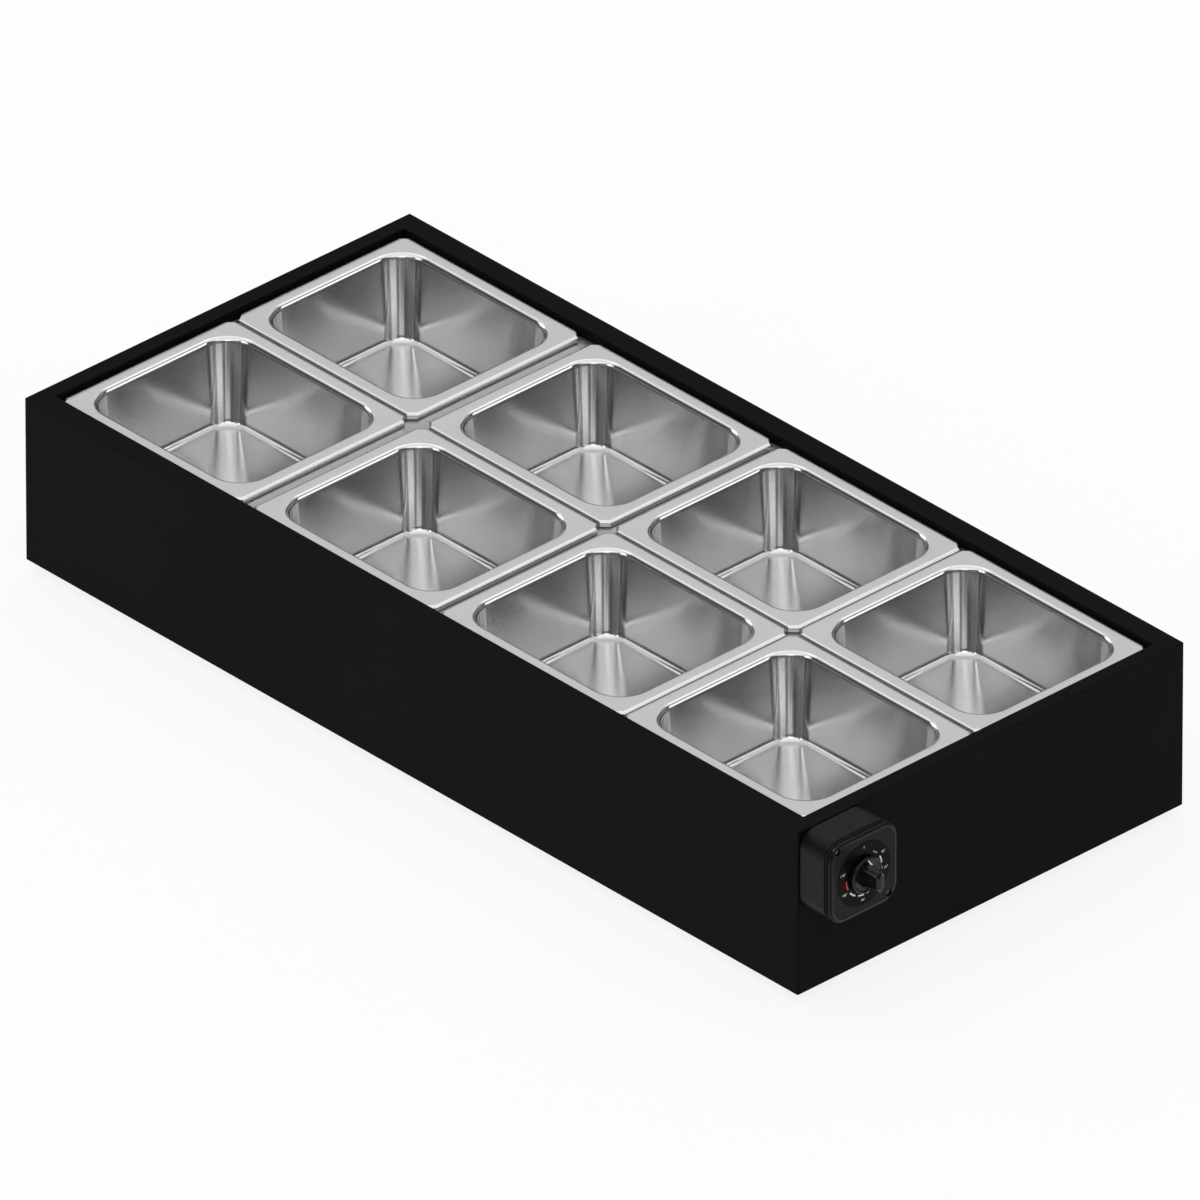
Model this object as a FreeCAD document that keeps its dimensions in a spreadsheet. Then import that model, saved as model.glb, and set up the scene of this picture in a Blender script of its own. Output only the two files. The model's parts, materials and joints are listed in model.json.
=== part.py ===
import FreeCAD, Part
import math
import os
import re
import Sketcher

# Electric buffet warmer: a black steel housing with a heated water well, eight lift-out pans
# and a thermostat box on its right end. Millimetres, +Z up, +X towards the control end and
# +Y towards the back. The origin is under the middle of the whole warmer, on the counter.
# Pieces are modelled about the middle of the housing and then moved together.

os.makedirs("parts", exist_ok=True)

# Driving sizes: alias, value in millimetres (or degrees), meaning
SIZES = (
    ("rim_end", 13.25, "housing, pans' outer edge to its end faces"),
    ("rim_side", 17.25, "housing, pans' outer edge to its long faces"),
    ("wiring_depth", 29.0, "space for the wiring between base plate and tank"),
    ("casing_sheet", 1.2, "housing, sheet thickness"),
    ("casing_edge", 1.0, "housing, outside bend radius"),
    ("return_width", 14.0, "housing, bottom edge turned inwards"),
    ("foot_height", 8.0, "gap between counter and housing"),
    ("foot_diameter", 24.0, "rubber foot, diameter"),
    ("foot_inset", 34.0, "rubber foot, axis to the housing's sides"),
    ("foot_taper", 1.5, "rubber foot, how much narrower it is below"),
    ("sheet_screw", 3.0, "sheet metal screw, diameter"),
    ("screw_play", 0.4, "screw holes, wider than their screws by"),
    ("screw_head_depth", 1.8, "screw heads, thickness"),
    ("rim_drop", 3.5, "pan flanges below the top of the rim"),
    ("rim_clearance", 1.0, "gap between pan flanges and rim"),
    ("pan_length", 176.0, "pan flange, along the housing"),
    ("pan_width", 156.0, "pan flange, across the housing"),
    ("pan_depth", 65.0, "pan, flange top to underside"),
    ("pan_sheet", 0.8, "pan, sheet thickness"),
    ("pan_flange", 9.0, "pan, flat of the flange"),
    ("mouth_roll", 3.5, "pan, radius from flange into wall"),
    ("pan_corner", 22.0, "pan, wall corner radius at the mouth"),
    ("wall_taper", 4.5, "pan, how far each wall leans in"),
    ("pan_heel", 5.0, "pan, radius from wall into floor"),
    ("flange_chamfer", 8.0, "pan, cut corner of the flange"),
    ("flange_roll", 2.0, "pan, radius from flange into lip"),
    ("lip_height", 4.0, "pan, height of the turned-down lip"),
    ("gap_first", 11.0, "gap between the pans at the first bar"),
    ("gap_second", 5.5, "gap between the pans at the second bar"),
    ("gap_third", 1.0, "gap between the pans at the third bar"),
    ("row_gap", 1.5, "gap between the two rows of pans"),
    ("pan_clearance", 4.8, "pans' underside above the heating element"),
    ("seat_gap", 0.3, "pan lip above its seat at rest"),
    ("tank_sheet", 1.0, "well tank, sheet thickness"),
    ("tank_inset", 8.0, "well tank, wall inside the pans' outer edge"),
    ("tank_corner", 12.0, "well tank, wall corner radius"),
    ("tank_heel", 6.0, "well tank, radius from wall into floor"),
    ("fit_gap", 0.3, "clearance between fitted sheet pieces"),
    ("bar_width", 18.0, "support bar, width"),
    ("bar_height", 12.0, "support bar, height of its skirts"),
    ("bar_sheet", 1.2, "support bar, sheet thickness"),
    ("tongue_width", 10.0, "cross bar tongue, width"),
    ("tongue_reach", 5.0, "cross bar tongue, reach into the row bar"),
    ("tongue_root", 12.0, "cross bar tongue, length under its bar"),
    ("bracket_sheet", 1.5, "bar bracket, thickness"),
    ("bracket_leg", 12.0, "bar bracket, length of each leg"),
    ("bracket_width", 14.0, "bar bracket, width"),
    ("heater_diameter", 8.0, "heating element, diameter"),
    ("heater_side", 58.75, "heating element, runs to the tank's long walls"),
    ("heater_margin", 26.0, "heating element, bend to the tank's end wall"),
    ("collar_gap", 0.5, "collars in the tank wall above its rounded heel"),
    ("bush_diameter", 12.0, "heater bush, threaded diameter"),
    ("bush_collar", 18.0, "heater bush, collar diameter"),
    ("bush_collar_depth", 3.0, "heater bush, collar thickness"),
    ("bush_reach", 7.0, "heater bush, length outside the tank"),
    ("nut_depth", 4.5, "heater nut, thickness"),
    ("terminal_depth", 3.5, "heater terminal, insulator length"),
    ("terminal_pin", 5.0, "heater terminal, pin length"),
    ("terminal_pin_diameter", 3.0, "heater terminal, pin diameter"),
    ("rest_sheet", 1.5, "element rest, thickness"),
    ("rest_overhang", 16.0, "element rest, beyond the runs"),
    ("rest_foot", 12.0, "element rest, width of its foot"),
    ("rest_pitch", 190.0, "element rest, distance between rests"),
    ("bulb_diameter", 6.5, "thermostat bulb, diameter"),
    ("bulb_length", 90.0, "thermostat bulb, length"),
    ("bulb_setback", 24.0, "thermostat bulb, end to the tank wall"),
    ("clip_sheet", 1.2, "bulb clip, thickness"),
    ("clip_width", 13.0, "bulb clip, width"),
    ("capillary_diameter", 2.0, "capillary tube, diameter"),
    ("capillary_drop", 8.5, "capillary outlet below the knob's axis"),
    ("capillary_inset", 2.2, "capillary, axis inside the cable window's edge"),
    ("gland_diameter", 8.0, "capillary gland, threaded diameter"),
    ("gland_collar", 13.0, "capillary gland, collar diameter"),
    ("gland_depth", 2.0, "capillary gland, collar thickness"),
    ("gland_reach", 3.0, "capillary gland, length outside the tank"),
    ("box_width", 60.0, "control box, width"),
    ("box_height", 60.5, "control box, height"),
    ("box_corner", 13.0, "control box, corner radius"),
    ("box_depth", 22.5, "control box, depth of the rear body"),
    ("box_wall", 2.2, "control box, wall thickness"),
    ("box_side", 1.2, "control box, set in from the housing's front"),
    ("box_drop", 0.6, "control box, below the top of the rim"),
    ("box_gasket_depth", 0.8, "gasket between box and housing"),
    ("window_width", 34.0, "cable window behind the box, width"),
    ("window_height", 26.0, "cable window behind the box, height"),
    ("boss_diameter", 6.0, "screw boss, diameter"),
    ("cover_gasket_depth", 1.2, "gasket behind the cover, thickness"),
    ("cover_gasket_inset", 0.8, "gasket behind the cover, set in"),
    ("cover_depth", 5.0, "cover, depth"),
    ("cover_front", 3.8, "cover, thickness of its front"),
    ("cover_edge", 1.2, "cover, rounding of its outer edge"),
    ("bead_inset", 1.6, "cover bead, set in from the edge"),
    ("bead_width", 1.2, "cover bead, width"),
    ("bead_rise", 0.4, "cover bead, height"),
    ("cover_screw_side", 7.0, "cover screw, axis inside the cover's sides"),
    ("cover_screw_up", 5.25, "cover screw, axis inside its top and bottom"),
    ("cover_screw_recess", 1.5, "cover screw, head below the cover"),
    ("cover_screw_head", 4.2, "cover screw, head diameter"),
    ("cover_screw_reach", 12.0, "cover screw, length in its boss"),
    ("dial_diameter", 47.0, "dial plate, diameter"),
    ("dial_depth", 0.8, "dial plate, thickness"),
    ("dial_gap", 0.2, "dial plate, gap round its edge"),
    ("dial_sunk", 0.5, "dial plate, depth of its seat in the cover"),
    ("thermostat_width", 44.0, "thermostat, width"),
    ("thermostat_height", 36.0, "thermostat, height"),
    ("thermostat_depth", 17.0, "thermostat, depth"),
    ("thermostat_cut", 3.0, "thermostat, cut corners"),
    ("thermostat_bush", 9.0, "thermostat, bush diameter"),
    ("thermostat_bush_reach", 3.4, "thermostat, bush beyond its front"),
    ("spindle_diameter", 6.0, "spindle, diameter"),
    ("spindle_fit", 0.05, "spindle, radial clearance in its bush"),
    ("spindle_flat", 1.4, "spindle, depth of its flat"),
    ("spindle_seat", 12.0, "spindle, length inside the thermostat"),
    ("spindle_reach", 11.0, "spindle, length beyond the cover's front"),
    ("knob_diameter", 31.0, "knob, skirt diameter"),
    ("knob_gap", 0.6, "knob, gap to the dial"),
    ("knob_rise", 17.0, "knob, height beyond the cover's front"),
    ("skirt_rise", 5.5, "knob, height of the skirt"),
    ("skirt_taper", 1.0, "knob, skirt narrower at its front"),
    ("skirt_lip", 1.6, "knob, width of the skirt's rim"),
    ("skirt_dish", 1.4, "knob, depth of the dish inside the rim"),
    ("knob_hollow", 2.5, "knob, depth of the hollow behind"),
    ("knob_hub", 11.0, "knob, diameter of the hub round its bore"),
    ("grip_width", 9.5, "knob grip, width at its foot"),
    ("grip_top_width", 6.0, "knob grip, width at its top"),
    ("grip_length", 26.5, "knob grip, length at its foot"),
    ("grip_top_length", 18.0, "knob grip, length at its top"),
    ("pointer_width", 1.2, "knob pointer line, width"),
    ("pointer_length", 6.5, "knob pointer line, length"),
    ("pointer_depth", 0.5, "knob pointer line, depth"),
    ("base_sheet", 1.0, "base plate, thickness"),
    ("vent_length", 40.0, "base plate vent, length"),
    ("vent_width", 4.0, "base plate vent, width"),
    ("vent_pitch", 12.0, "base plate vent, distance between vents"),
    ("vent_count", 7.0, "base plate vents in a row"),
    ("bay_length", 120.0, "wiring bay under the control end"),
    ("slab_headroom", 7.0, "insulation, top below the ledge"),
    ("cord_bore", 8.2, "cable gland, bore"),
    ("cord_thread", 16.0, "cable gland, thread diameter"),
    ("cord_hex", 21.0, "cable gland, across the flats"),
    ("cord_hex_depth", 4.0, "cable gland, hexagon thickness"),
    ("cord_cap_depth", 11.0, "cable gland, length of its cap"),
    ("cord_cap_end", 14.0, "cable gland, cap diameter at its end"),
    ("cord_inside", 9.0, "cable gland, thread inside the housing"),
    ("cord_end_inset", 58.0, "cable gland, axis to the control end"),
    ("cord_height", 27.0, "cable gland, axis above the counter"),
    ("block_length", 34.0, "terminal block, length"),
    ("block_width", 22.0, "terminal block, width"),
    ("block_height", 17.0, "terminal block, height"),
    ("block_ledge", 7.0, "terminal block, length of the ledge at each end"),
    ("block_pitch", 6.5, "terminal block, distance between cores"),
    ("block_core", 3.4, "terminal block, entry for a core"),
    ("block_inset", 58.0, "terminal block, axis to the control end"),
    ("cutout_diameter", 16.0, "safety cut-out, body diameter"),
    ("cutout_height", 9.0, "safety cut-out, body height"),
    ("cutout_flange", 27.0, "safety cut-out, flange length"),
    ("cutout_sheet", 1.2, "safety cut-out, flange thickness"),
)
ALIASES = {alias for alias, value, meaning in SIZES}

doc = FreeCAD.newDocument("buffet_warmer")
sheet = doc.addObject("Spreadsheet::Sheet", "sizes")
for row, (alias, value, meaning) in enumerate(SIZES, start=1):
    sheet.set(f"A{row}", meaning)
    sheet.set(f"B{row}", str(value))
    sheet.setAlias(f"B{row}", alias)
doc.recompute()

# Levels and distances that several pieces share, as expressions of the driving sizes
ARRAY_X = "(4 * pan_length + gap_first + gap_second + gap_third)"
ARRAY_Y = "(2 * pan_width + row_gap)"
CASING_X = f"({ARRAY_X} / 2 + rim_end)"
CASING_Y = f"({ARRAY_Y} / 2 + rim_side)"
BASE_TOP = "(foot_height + casing_sheet + base_sheet)"
TANK_BOTTOM = f"({BASE_TOP} + wiring_depth)"
TANK_FLOOR = f"({TANK_BOTTOM} + tank_sheet)"
HEATER_HEIGHT = "(tank_heel + collar_gap + bush_collar / 2)"
HEATER_Z = f"({TANK_FLOOR} + {HEATER_HEIGHT})"
FLANGE_TOP = f"({HEATER_Z} + heater_diameter / 2 + pan_clearance + pan_depth)"
CASING_TOP = f"({FLANGE_TOP} + rim_drop)"
SEAT = f"({FLANGE_TOP} - lip_height - seat_gap)"
LEDGE_TOP = f"({SEAT} - tank_sheet)"
RIM_X = f"({ARRAY_X} / 2 + rim_clearance)"
RIM_Y = f"({ARRAY_Y} / 2 + rim_clearance)"
TANK_X = f"({ARRAY_X} / 2 - tank_inset)"
TANK_Y = f"({ARRAY_Y} / 2 - tank_inset)"
WALL_X = f"({CASING_X} - casing_sheet)"
WALL_Y = f"({CASING_Y} - casing_sheet)"
SHELL_X = f"({TANK_X} + tank_sheet)"
SHELL_Y = f"({TANK_Y} + tank_sheet)"
HEATER_OUT = f"({TANK_Y} - heater_side)"
BULB_HEIGHT = "(tank_heel + collar_gap + gland_collar / 2)"
BULB_Z = f"({TANK_FLOOR} + {BULB_HEIGHT})"
BOX_X = f"({CASING_X} + box_gasket_depth)"
BOX_Y = f"(box_side + box_width / 2 - {CASING_Y})"
BOX_Z = f"({CASING_TOP} - box_drop - box_height / 2)"
BULB_Y = f"({BOX_Y} + window_width / 2 - capillary_inset)"
COVER_BACK = f"({BOX_X} + box_depth + cover_gasket_depth)"
COVER_FRONT = f"({COVER_BACK} + cover_depth)"
THERMOSTAT_X = f"({COVER_FRONT} - cover_front)"
DIAL_BACK = f"({COVER_FRONT} - dial_sunk)"
KNOB_BACK = f"({DIAL_BACK} + dial_depth + knob_gap)"
KNOB_LENGTH = f"({COVER_FRONT} + knob_rise - {KNOB_BACK})"
REACH_X = f"({COVER_FRONT} + knob_rise - {CASING_X})"
REACH_Y = "(cord_hex_depth + cord_cap_depth)"
CORD_X = f"({CASING_X} - cord_end_inset)"
BAY_MIDDLE = f"({WALL_X} - bay_length / 2)"
BLOCK_X = f"({WALL_X} - block_inset)"
BLOCK_Y = f"({CASING_Y} - block_inset - block_length)"
GAPS = ("gap_first", "gap_second", "gap_third")

# Share of a radius at which a straight cut touches the round at its middle
CUT = "(2 - sqrt(2))"


def full(expression):
    """The expression with every size's alias written as the sheet's cell."""
    def cell(match):
        word = match.group()
        return f"sizes.{word}" if word in ALIASES else word
    return re.sub(r"[a-z_]+", cell, str(expression))


def number(expression):
    """The present value of an expression."""
    return float(sheet.evalExpression(full(expression)))


def bind(thing, name, expression):
    thing.setExpression(name, full(expression))


X_AXIS = FreeCAD.Vector(1, 0, 0)
Y_AXIS = FreeCAD.Vector(0, 1, 0)
Z_AXIS = FreeCAD.Vector(0, 0, 1)
UP = FreeCAD.Rotation()
RIGHT = FreeCAD.Rotation(Y_AXIS, 90)
LEFT = FreeCAD.Rotation(Y_AXIS, -90)
BACK = FreeCAD.Rotation(X_AXIS, -90)
FRONT = FreeCAD.Rotation(X_AXIS, 90)
TURNED = FreeCAD.Rotation(Z_AXIS, 180)
TURNED_RIGHT = FreeCAD.Rotation(Z_AXIS, -90)
TURNED_LEFT = FreeCAD.Rotation(Z_AXIS, 90)


def place(thing, x="0", y="0", z="0", turn=UP):
    """Puts a piece at a point given from the middle of the housing. UP to FRONT say where
    its own Z axis points; TURNED and its kin turn it about Z."""
    thing.Placement = FreeCAD.Placement(FreeCAD.Vector(), turn)
    bind(thing, "Placement.Base.x", f"{x} - {REACH_X} / 2")
    bind(thing, "Placement.Base.y", f"{y} - {REACH_Y} / 2")
    bind(thing, "Placement.Base.z", z)
    return thing


def new_body(name):
    body = doc.addObject("PartDesign::Body", name)
    body.Label = name
    return body


def new_sketch(body, plane, level="0"):
    """A sketch on one of the body's own planes, moved along that plane's normal."""
    sketch = body.newObject("Sketcher::SketchObject", f"{body.Name}_sketch")
    datum = [item for item in body.Origin.OriginFeatures if item.Role == plane][0]
    sketch.AttachmentSupport = [(datum, "")]
    sketch.MapMode = "FlatFace"
    bind(sketch, "AttachmentOffset.Base.z", level)
    return sketch


def fix_value(sketch, kind, target, expression):
    rule = Sketcher.Constraint(kind, *target, number(expression))
    index = sketch.addConstraint(rule)
    bind(sketch, f"Constraints[{index}]", expression)


def fix_point(sketch, item, end, x, y):
    """Holds one end of a sketch element at a point given by two expressions."""
    fix_value(sketch, "DistanceX", (-1, 1, item, end), x)
    fix_value(sketch, "DistanceY", (-1, 1, item, end), y)


def flat_point(x, y):
    return FreeCAD.Vector(x, y, 0)


def polygon(sketch, points):
    """Closed outline of straight lines through points given as pairs of expressions."""
    places = [flat_point(number(x), number(y)) for x, y in points]
    first = sketch.GeometryCount
    count = len(points)
    for index in range(count):
        line = Part.LineSegment(places[index], places[(index + 1) % count])
        sketch.addGeometry(line, False)
    for index in range(count):
        after = first + (index + 1) % count
        sketch.addConstraint(Sketcher.Constraint("Coincident", first + index, 2, after, 1))
        fix_point(sketch, first + index, 1, *points[index])


def rectangle(sketch, left, right, low, high):
    polygon(sketch, ((left, low), (right, low), (right, high), (left, high)))


def centred_rectangle(sketch, half_x, half_y):
    rectangle(sketch, f"-{half_x}", half_x, f"-{half_y}", half_y)


def cut_corner_rectangle(sketch, half_x, half_y, cut):
    """Rectangle about the sketch's origin with its four corners cut off at 45 degrees."""
    near_x, near_y = f"({half_x} - {cut})", f"({half_y} - {cut})"
    polygon(sketch, (
        (f"-{near_x}", f"-{half_y}"), (near_x, f"-{half_y}"),
        (half_x, f"-{near_y}"), (half_x, near_y),
        (near_x, half_y), (f"-{near_x}", half_y),
        (f"-{half_x}", near_y), (f"-{half_x}", f"-{near_y}")))


def rounded_rectangle(sketch, half_x, half_y, radius):
    """Rectangle about the sketch's origin with round corners."""
    wide, tall, bend = number(half_x), number(half_y), number(radius)
    first = sketch.GeometryCount
    quarter = math.pi / 2
    runs = (
        ((bend - wide, -tall), (wide - bend, -tall)), ((wide, bend - tall), (wide, tall - bend)),
        ((wide - bend, tall), (bend - wide, tall)), ((-wide, tall - bend), (-wide, bend - tall)))
    centres = ((1, -1), (1, 1), (-1, 1), (-1, -1))
    for index, (start, stop) in enumerate(runs):
        sketch.addGeometry(Part.LineSegment(flat_point(*start), flat_point(*stop)), False)
        side_x, side_y = centres[index]
        centre = flat_point(side_x * (wide - bend), side_y * (tall - bend))
        ring = Part.Circle(centre, FreeCAD.Vector(0, 0, 1), bend)
        begin = (index - 1) * quarter
        sketch.addGeometry(Part.ArcOfCircle(ring, begin, begin + quarter), False)
    for index in range(4):
        line, arc = first + 2 * index, first + 2 * index + 1
        after = first + (2 * index + 2) % 8
        sketch.addConstraint(Sketcher.Constraint("Tangent", line, 2, arc, 1))
        sketch.addConstraint(Sketcher.Constraint("Tangent", arc, 2, after, 1))
        way = "Horizontal" if index % 2 == 0 else "Vertical"
        sketch.addConstraint(Sketcher.Constraint(way, line))
        if index:
            sketch.addConstraint(Sketcher.Constraint("Equal", first + 1, arc))
    fix_value(sketch, "Radius", (first + 1,), radius)
    fix_value(sketch, "DistanceY", (-1, 1, first, 1), f"-{half_y}")
    fix_value(sketch, "DistanceX", (-1, 1, first + 2, 1), half_x)
    fix_value(sketch, "DistanceY", (-1, 1, first + 4, 1), half_y)
    fix_value(sketch, "DistanceX", (-1, 1, first + 6, 1), f"-{half_x}")


def circle(sketch, x, y, diameter):
    centre = flat_point(number(x), number(y))
    ring = Part.Circle(centre, FreeCAD.Vector(0, 0, 1), number(diameter) / 2)
    index = sketch.addGeometry(ring, False)
    fix_value(sketch, "Diameter", (index,), diameter)
    fix_point(sketch, index, 3, x, y)


def hexagon(sketch, across):
    """Regular hexagon about the sketch's origin, given across its flats."""
    corner = f"({across} / sqrt(3))"
    half = f"({across} / 2)"
    polygon(sketch, (
        (corner, "0"), (f"{corner} / 2", half), (f"-{corner} / 2", half),
        (f"-{corner}", "0"), (f"-{corner} / 2", f"-{half}"), (f"{corner} / 2", f"-{half}")))


def volume_of(body):
    doc.recompute()
    return body.Shape.Volume


def extrude(body, kind, sketch, length, back=False, both=False):
    """Pads or pockets a sketch; back turns it to the other side of the sketch."""
    before = 0.0 if body.Tip is None else volume_of(body)
    feature = body.newObject(kind, f"{body.Name}_{kind.split('::')[1].lower()}")
    feature.Profile = sketch
    feature.Reversed = back
    feature.Midplane = both
    bind(feature, "Length", length)
    after = volume_of(body)
    grows = kind.endswith("Pad")
    if (after > before + 1e-6) != grows or abs(after - before) < 1e-6:
        raise RuntimeError(f"{feature.Name} changes nothing")
    return feature


def pad(body, sketch, length, back=False, both=False):
    return extrude(body, "PartDesign::Pad", sketch, length, back, both)


def pocket(body, sketch, length, back=False, both=False):
    return extrude(body, "PartDesign::Pocket", sketch, length, back, both)


def revolve(body, sketch, axis):
    feature = body.newObject("PartDesign::Revolution", f"{body.Name}_revolution")
    feature.Profile = sketch
    feature.ReferenceAxis = (sketch, [axis])
    feature.Angle = 360.0
    doc.recompute()
    return feature


def loft(body, kind, lower, upper):
    feature = body.newObject(kind, f"{body.Name}_loft")
    feature.Profile = lower
    feature.Sections = [upper]
    feature.Ruled = True
    doc.recompute()
    return feature


def round_edges(body, kind, test, size):
    """Fillets or chamfers every edge of the body's last shape that the test picks."""
    doc.recompute()
    base = body.Tip
    picked = [f"Edge{index}" for index, edge in enumerate(base.Shape.Edges, start=1) if test(edge)]
    if not picked:
        raise RuntimeError(f"{body.Name} has no such edge")
    feature = body.newObject(kind, f"{body.Name}_{kind.split('::')[1].lower()}")
    feature.Base = (base, picked)
    bind(feature, "Size" if kind.endswith("Chamfer") else "Radius", size)
    doc.recompute()
    return feature


def fillet(body, test, radius):
    return round_edges(body, "PartDesign::Fillet", test, radius)


def chamfer(body, test, size):
    return round_edges(body, "PartDesign::Chamfer", test, size)


def flat_at(level, axis="Z"):
    """Picks the edges that lie at one level along an axis."""
    height = number(level)

    def test(edge):
        box = edge.BoundBox
        low, high = getattr(box, f"{axis}Min"), getattr(box, f"{axis}Max")
        return abs(low - height) < 1e-3 and abs(high - height) < 1e-3
    return test


def upright(edge):
    """Picks straight edges that stand along Z."""
    box = edge.BoundBox
    return box.ZLength > 1.0 and box.XLength < 1e-3 and box.YLength < 1e-3


def within(test, half_x, half_y):
    """Narrows a test to edges inside a rectangle about the origin."""
    wide, tall = number(half_x), number(half_y)

    def inner(edge):
        box = edge.BoundBox
        return test(edge) and max(-box.XMin, box.XMax) < wide and max(-box.YMin, box.YMax) < tall
    return inner


PARTS = []


def keep(thing):
    """Adds a finished sub-part to the ones that are written."""
    PARTS.append(thing)
    return thing


def group(name, pieces):
    """One node that holds several separate solids."""
    set_of = doc.addObject("Part::Compound", name)
    set_of.Label = name
    set_of.Links = pieces
    return keep(set_of)


def column_place(column):
    """Middle of a pan column, counted from 0 at the left."""
    return f"(pan_length / 2 - {ARRAY_X} / 2 + {column} * pan_length" + "".join(
        f" + {gap}" for gap in GAPS[:column]) + ")"


def bar_place(column):
    """Middle of the gap to the right of a pan column."""
    return f"({column_place(column)} + pan_length / 2 + {GAPS[column]} / 2)"


# Shared outlines and places

def cable_window(sketch, y, z):
    """Opening behind the control box."""
    rectangle(sketch, f"{y} - window_width / 2", f"{y} + window_width / 2",
              f"{z} - window_height / 2", f"{z} + window_height / 2")


def foot_places():
    return [(f"{side_x}({CASING_X} - foot_inset)", f"{side_y}({CASING_Y} - foot_inset)")
            for side_y in ("-", "") for side_x in ("-", "")]


def turned(name, steps, bore=None):
    """Piece turned about Z from pairs of radius and height, listed from below upwards.
    A bore, if any, is a diameter."""
    body = new_body(name)
    half = new_sketch(body, "XZ_Plane")
    inner = "0" if bore is None else f"({bore}) / 2"
    first, last = steps[0][1], steps[-1][1]
    polygon(half, [(inner, first)] + list(steps) + [(inner, last)])
    revolve(body, half, "V_Axis")
    return body


def screw(name, head, head_depth, shank, length):
    """Cheese-head screw along Z with its head's underside at the origin."""
    return turned(name, (
        (f"({shank}) / 2", f"-({length})"), (f"({shank}) / 2", "0"),
        (f"({head}) / 2", "0"), (f"({head}) / 2", head_depth)))


def nut(name, across, depth, bore):
    """Hexagon nut along Z that sits on the origin."""
    body = new_body(name)
    outline = new_sketch(body, "XY_Plane")
    hexagon(outline, across)
    circle(outline, "0", "0", bore)
    pad(body, outline, depth)
    return body


# Housing

def make_casing_top():
    """Top panel: a flat rim, an apron turned down round the well and a ledge for the tank."""
    body = new_body("casing_top")
    plate = new_sketch(body, "XY_Plane", f"{CASING_TOP} - casing_sheet")
    centred_rectangle(plate, CASING_X, CASING_Y)
    pad(body, plate, "casing_sheet")
    fillet(body, upright, "casing_edge")
    chamfer(body, flat_at(CASING_TOP), f"casing_edge * {CUT}")
    mouth = new_sketch(body, "XY_Plane", CASING_TOP)
    centred_rectangle(mouth, RIM_X, RIM_Y)
    pocket(body, mouth, "2 * casing_sheet")
    apron = new_sketch(body, "XY_Plane", f"{LEDGE_TOP} - casing_sheet")
    centred_rectangle(apron, f"({RIM_X} + casing_sheet)", f"({RIM_Y} + casing_sheet)")
    centred_rectangle(apron, RIM_X, RIM_Y)
    pad(body, apron, f"{CASING_TOP} - {LEDGE_TOP} + casing_sheet / 2")
    ledge = new_sketch(body, "XY_Plane", f"{LEDGE_TOP} - casing_sheet")
    centred_rectangle(ledge, f"({RIM_X} + casing_sheet / 2)", f"({RIM_Y} + casing_sheet / 2)")
    rounded_rectangle(ledge, f"({SHELL_X} + fit_gap)", f"({SHELL_Y} + fit_gap)",
                      "(tank_corner + tank_sheet + fit_gap)")
    pad(body, ledge, "casing_sheet")
    return keep(place(body))


def make_panel(name, half_wall, half_flange, x="0", y="0", turn=UP):
    """Side panel with its bottom edge turned in. Its outer face lies at its own X = 0."""
    body = new_body(name)
    wall = new_sketch(body, "XY_Plane", "foot_height")
    rectangle(wall, "-casing_sheet", "0", f"-{half_wall}", half_wall)
    pad(body, wall, f"{CASING_TOP} - casing_sheet - foot_height")
    flange = new_sketch(body, "XY_Plane", "foot_height")
    rectangle(flange, "-return_width", "-casing_sheet / 2", f"-{half_flange}", half_flange)
    pad(body, flange, "casing_sheet")
    return keep(place(body, x, y, turn=turn))


def make_casing_walls():
    """Four welded panels under the top panel; the long ones cover the ends of the others."""
    long_panels = (
        ("casing_front", f"-{CASING_Y}", TURNED_RIGHT), ("casing_back", CASING_Y, TURNED_LEFT))
    for name, y, turn in long_panels:
        panel = make_panel(name, CASING_X, WALL_X, y=y, turn=turn)
        fillet(panel, lambda edge: upright(edge) and abs(edge.BoundBox.XMax) < 1e-3, "casing_edge")
        if name == "casing_back":
            cord = new_sketch(panel, "YZ_Plane")
            circle(cord, f"-{CORD_X}", "cord_height", "cord_thread + screw_play")
            pocket(panel, cord, "2 * casing_sheet")
    end_flange = f"({CASING_Y} - return_width)"
    make_panel("casing_left", WALL_Y, end_flange, x=f"-{CASING_X}", turn=TURNED)
    right = make_panel("casing_right", WALL_Y, end_flange, x=CASING_X)
    window = new_sketch(right, "YZ_Plane")
    cable_window(window, BOX_Y, BOX_Z)
    pocket(right, window, "2 * casing_sheet")


# Pans

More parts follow.
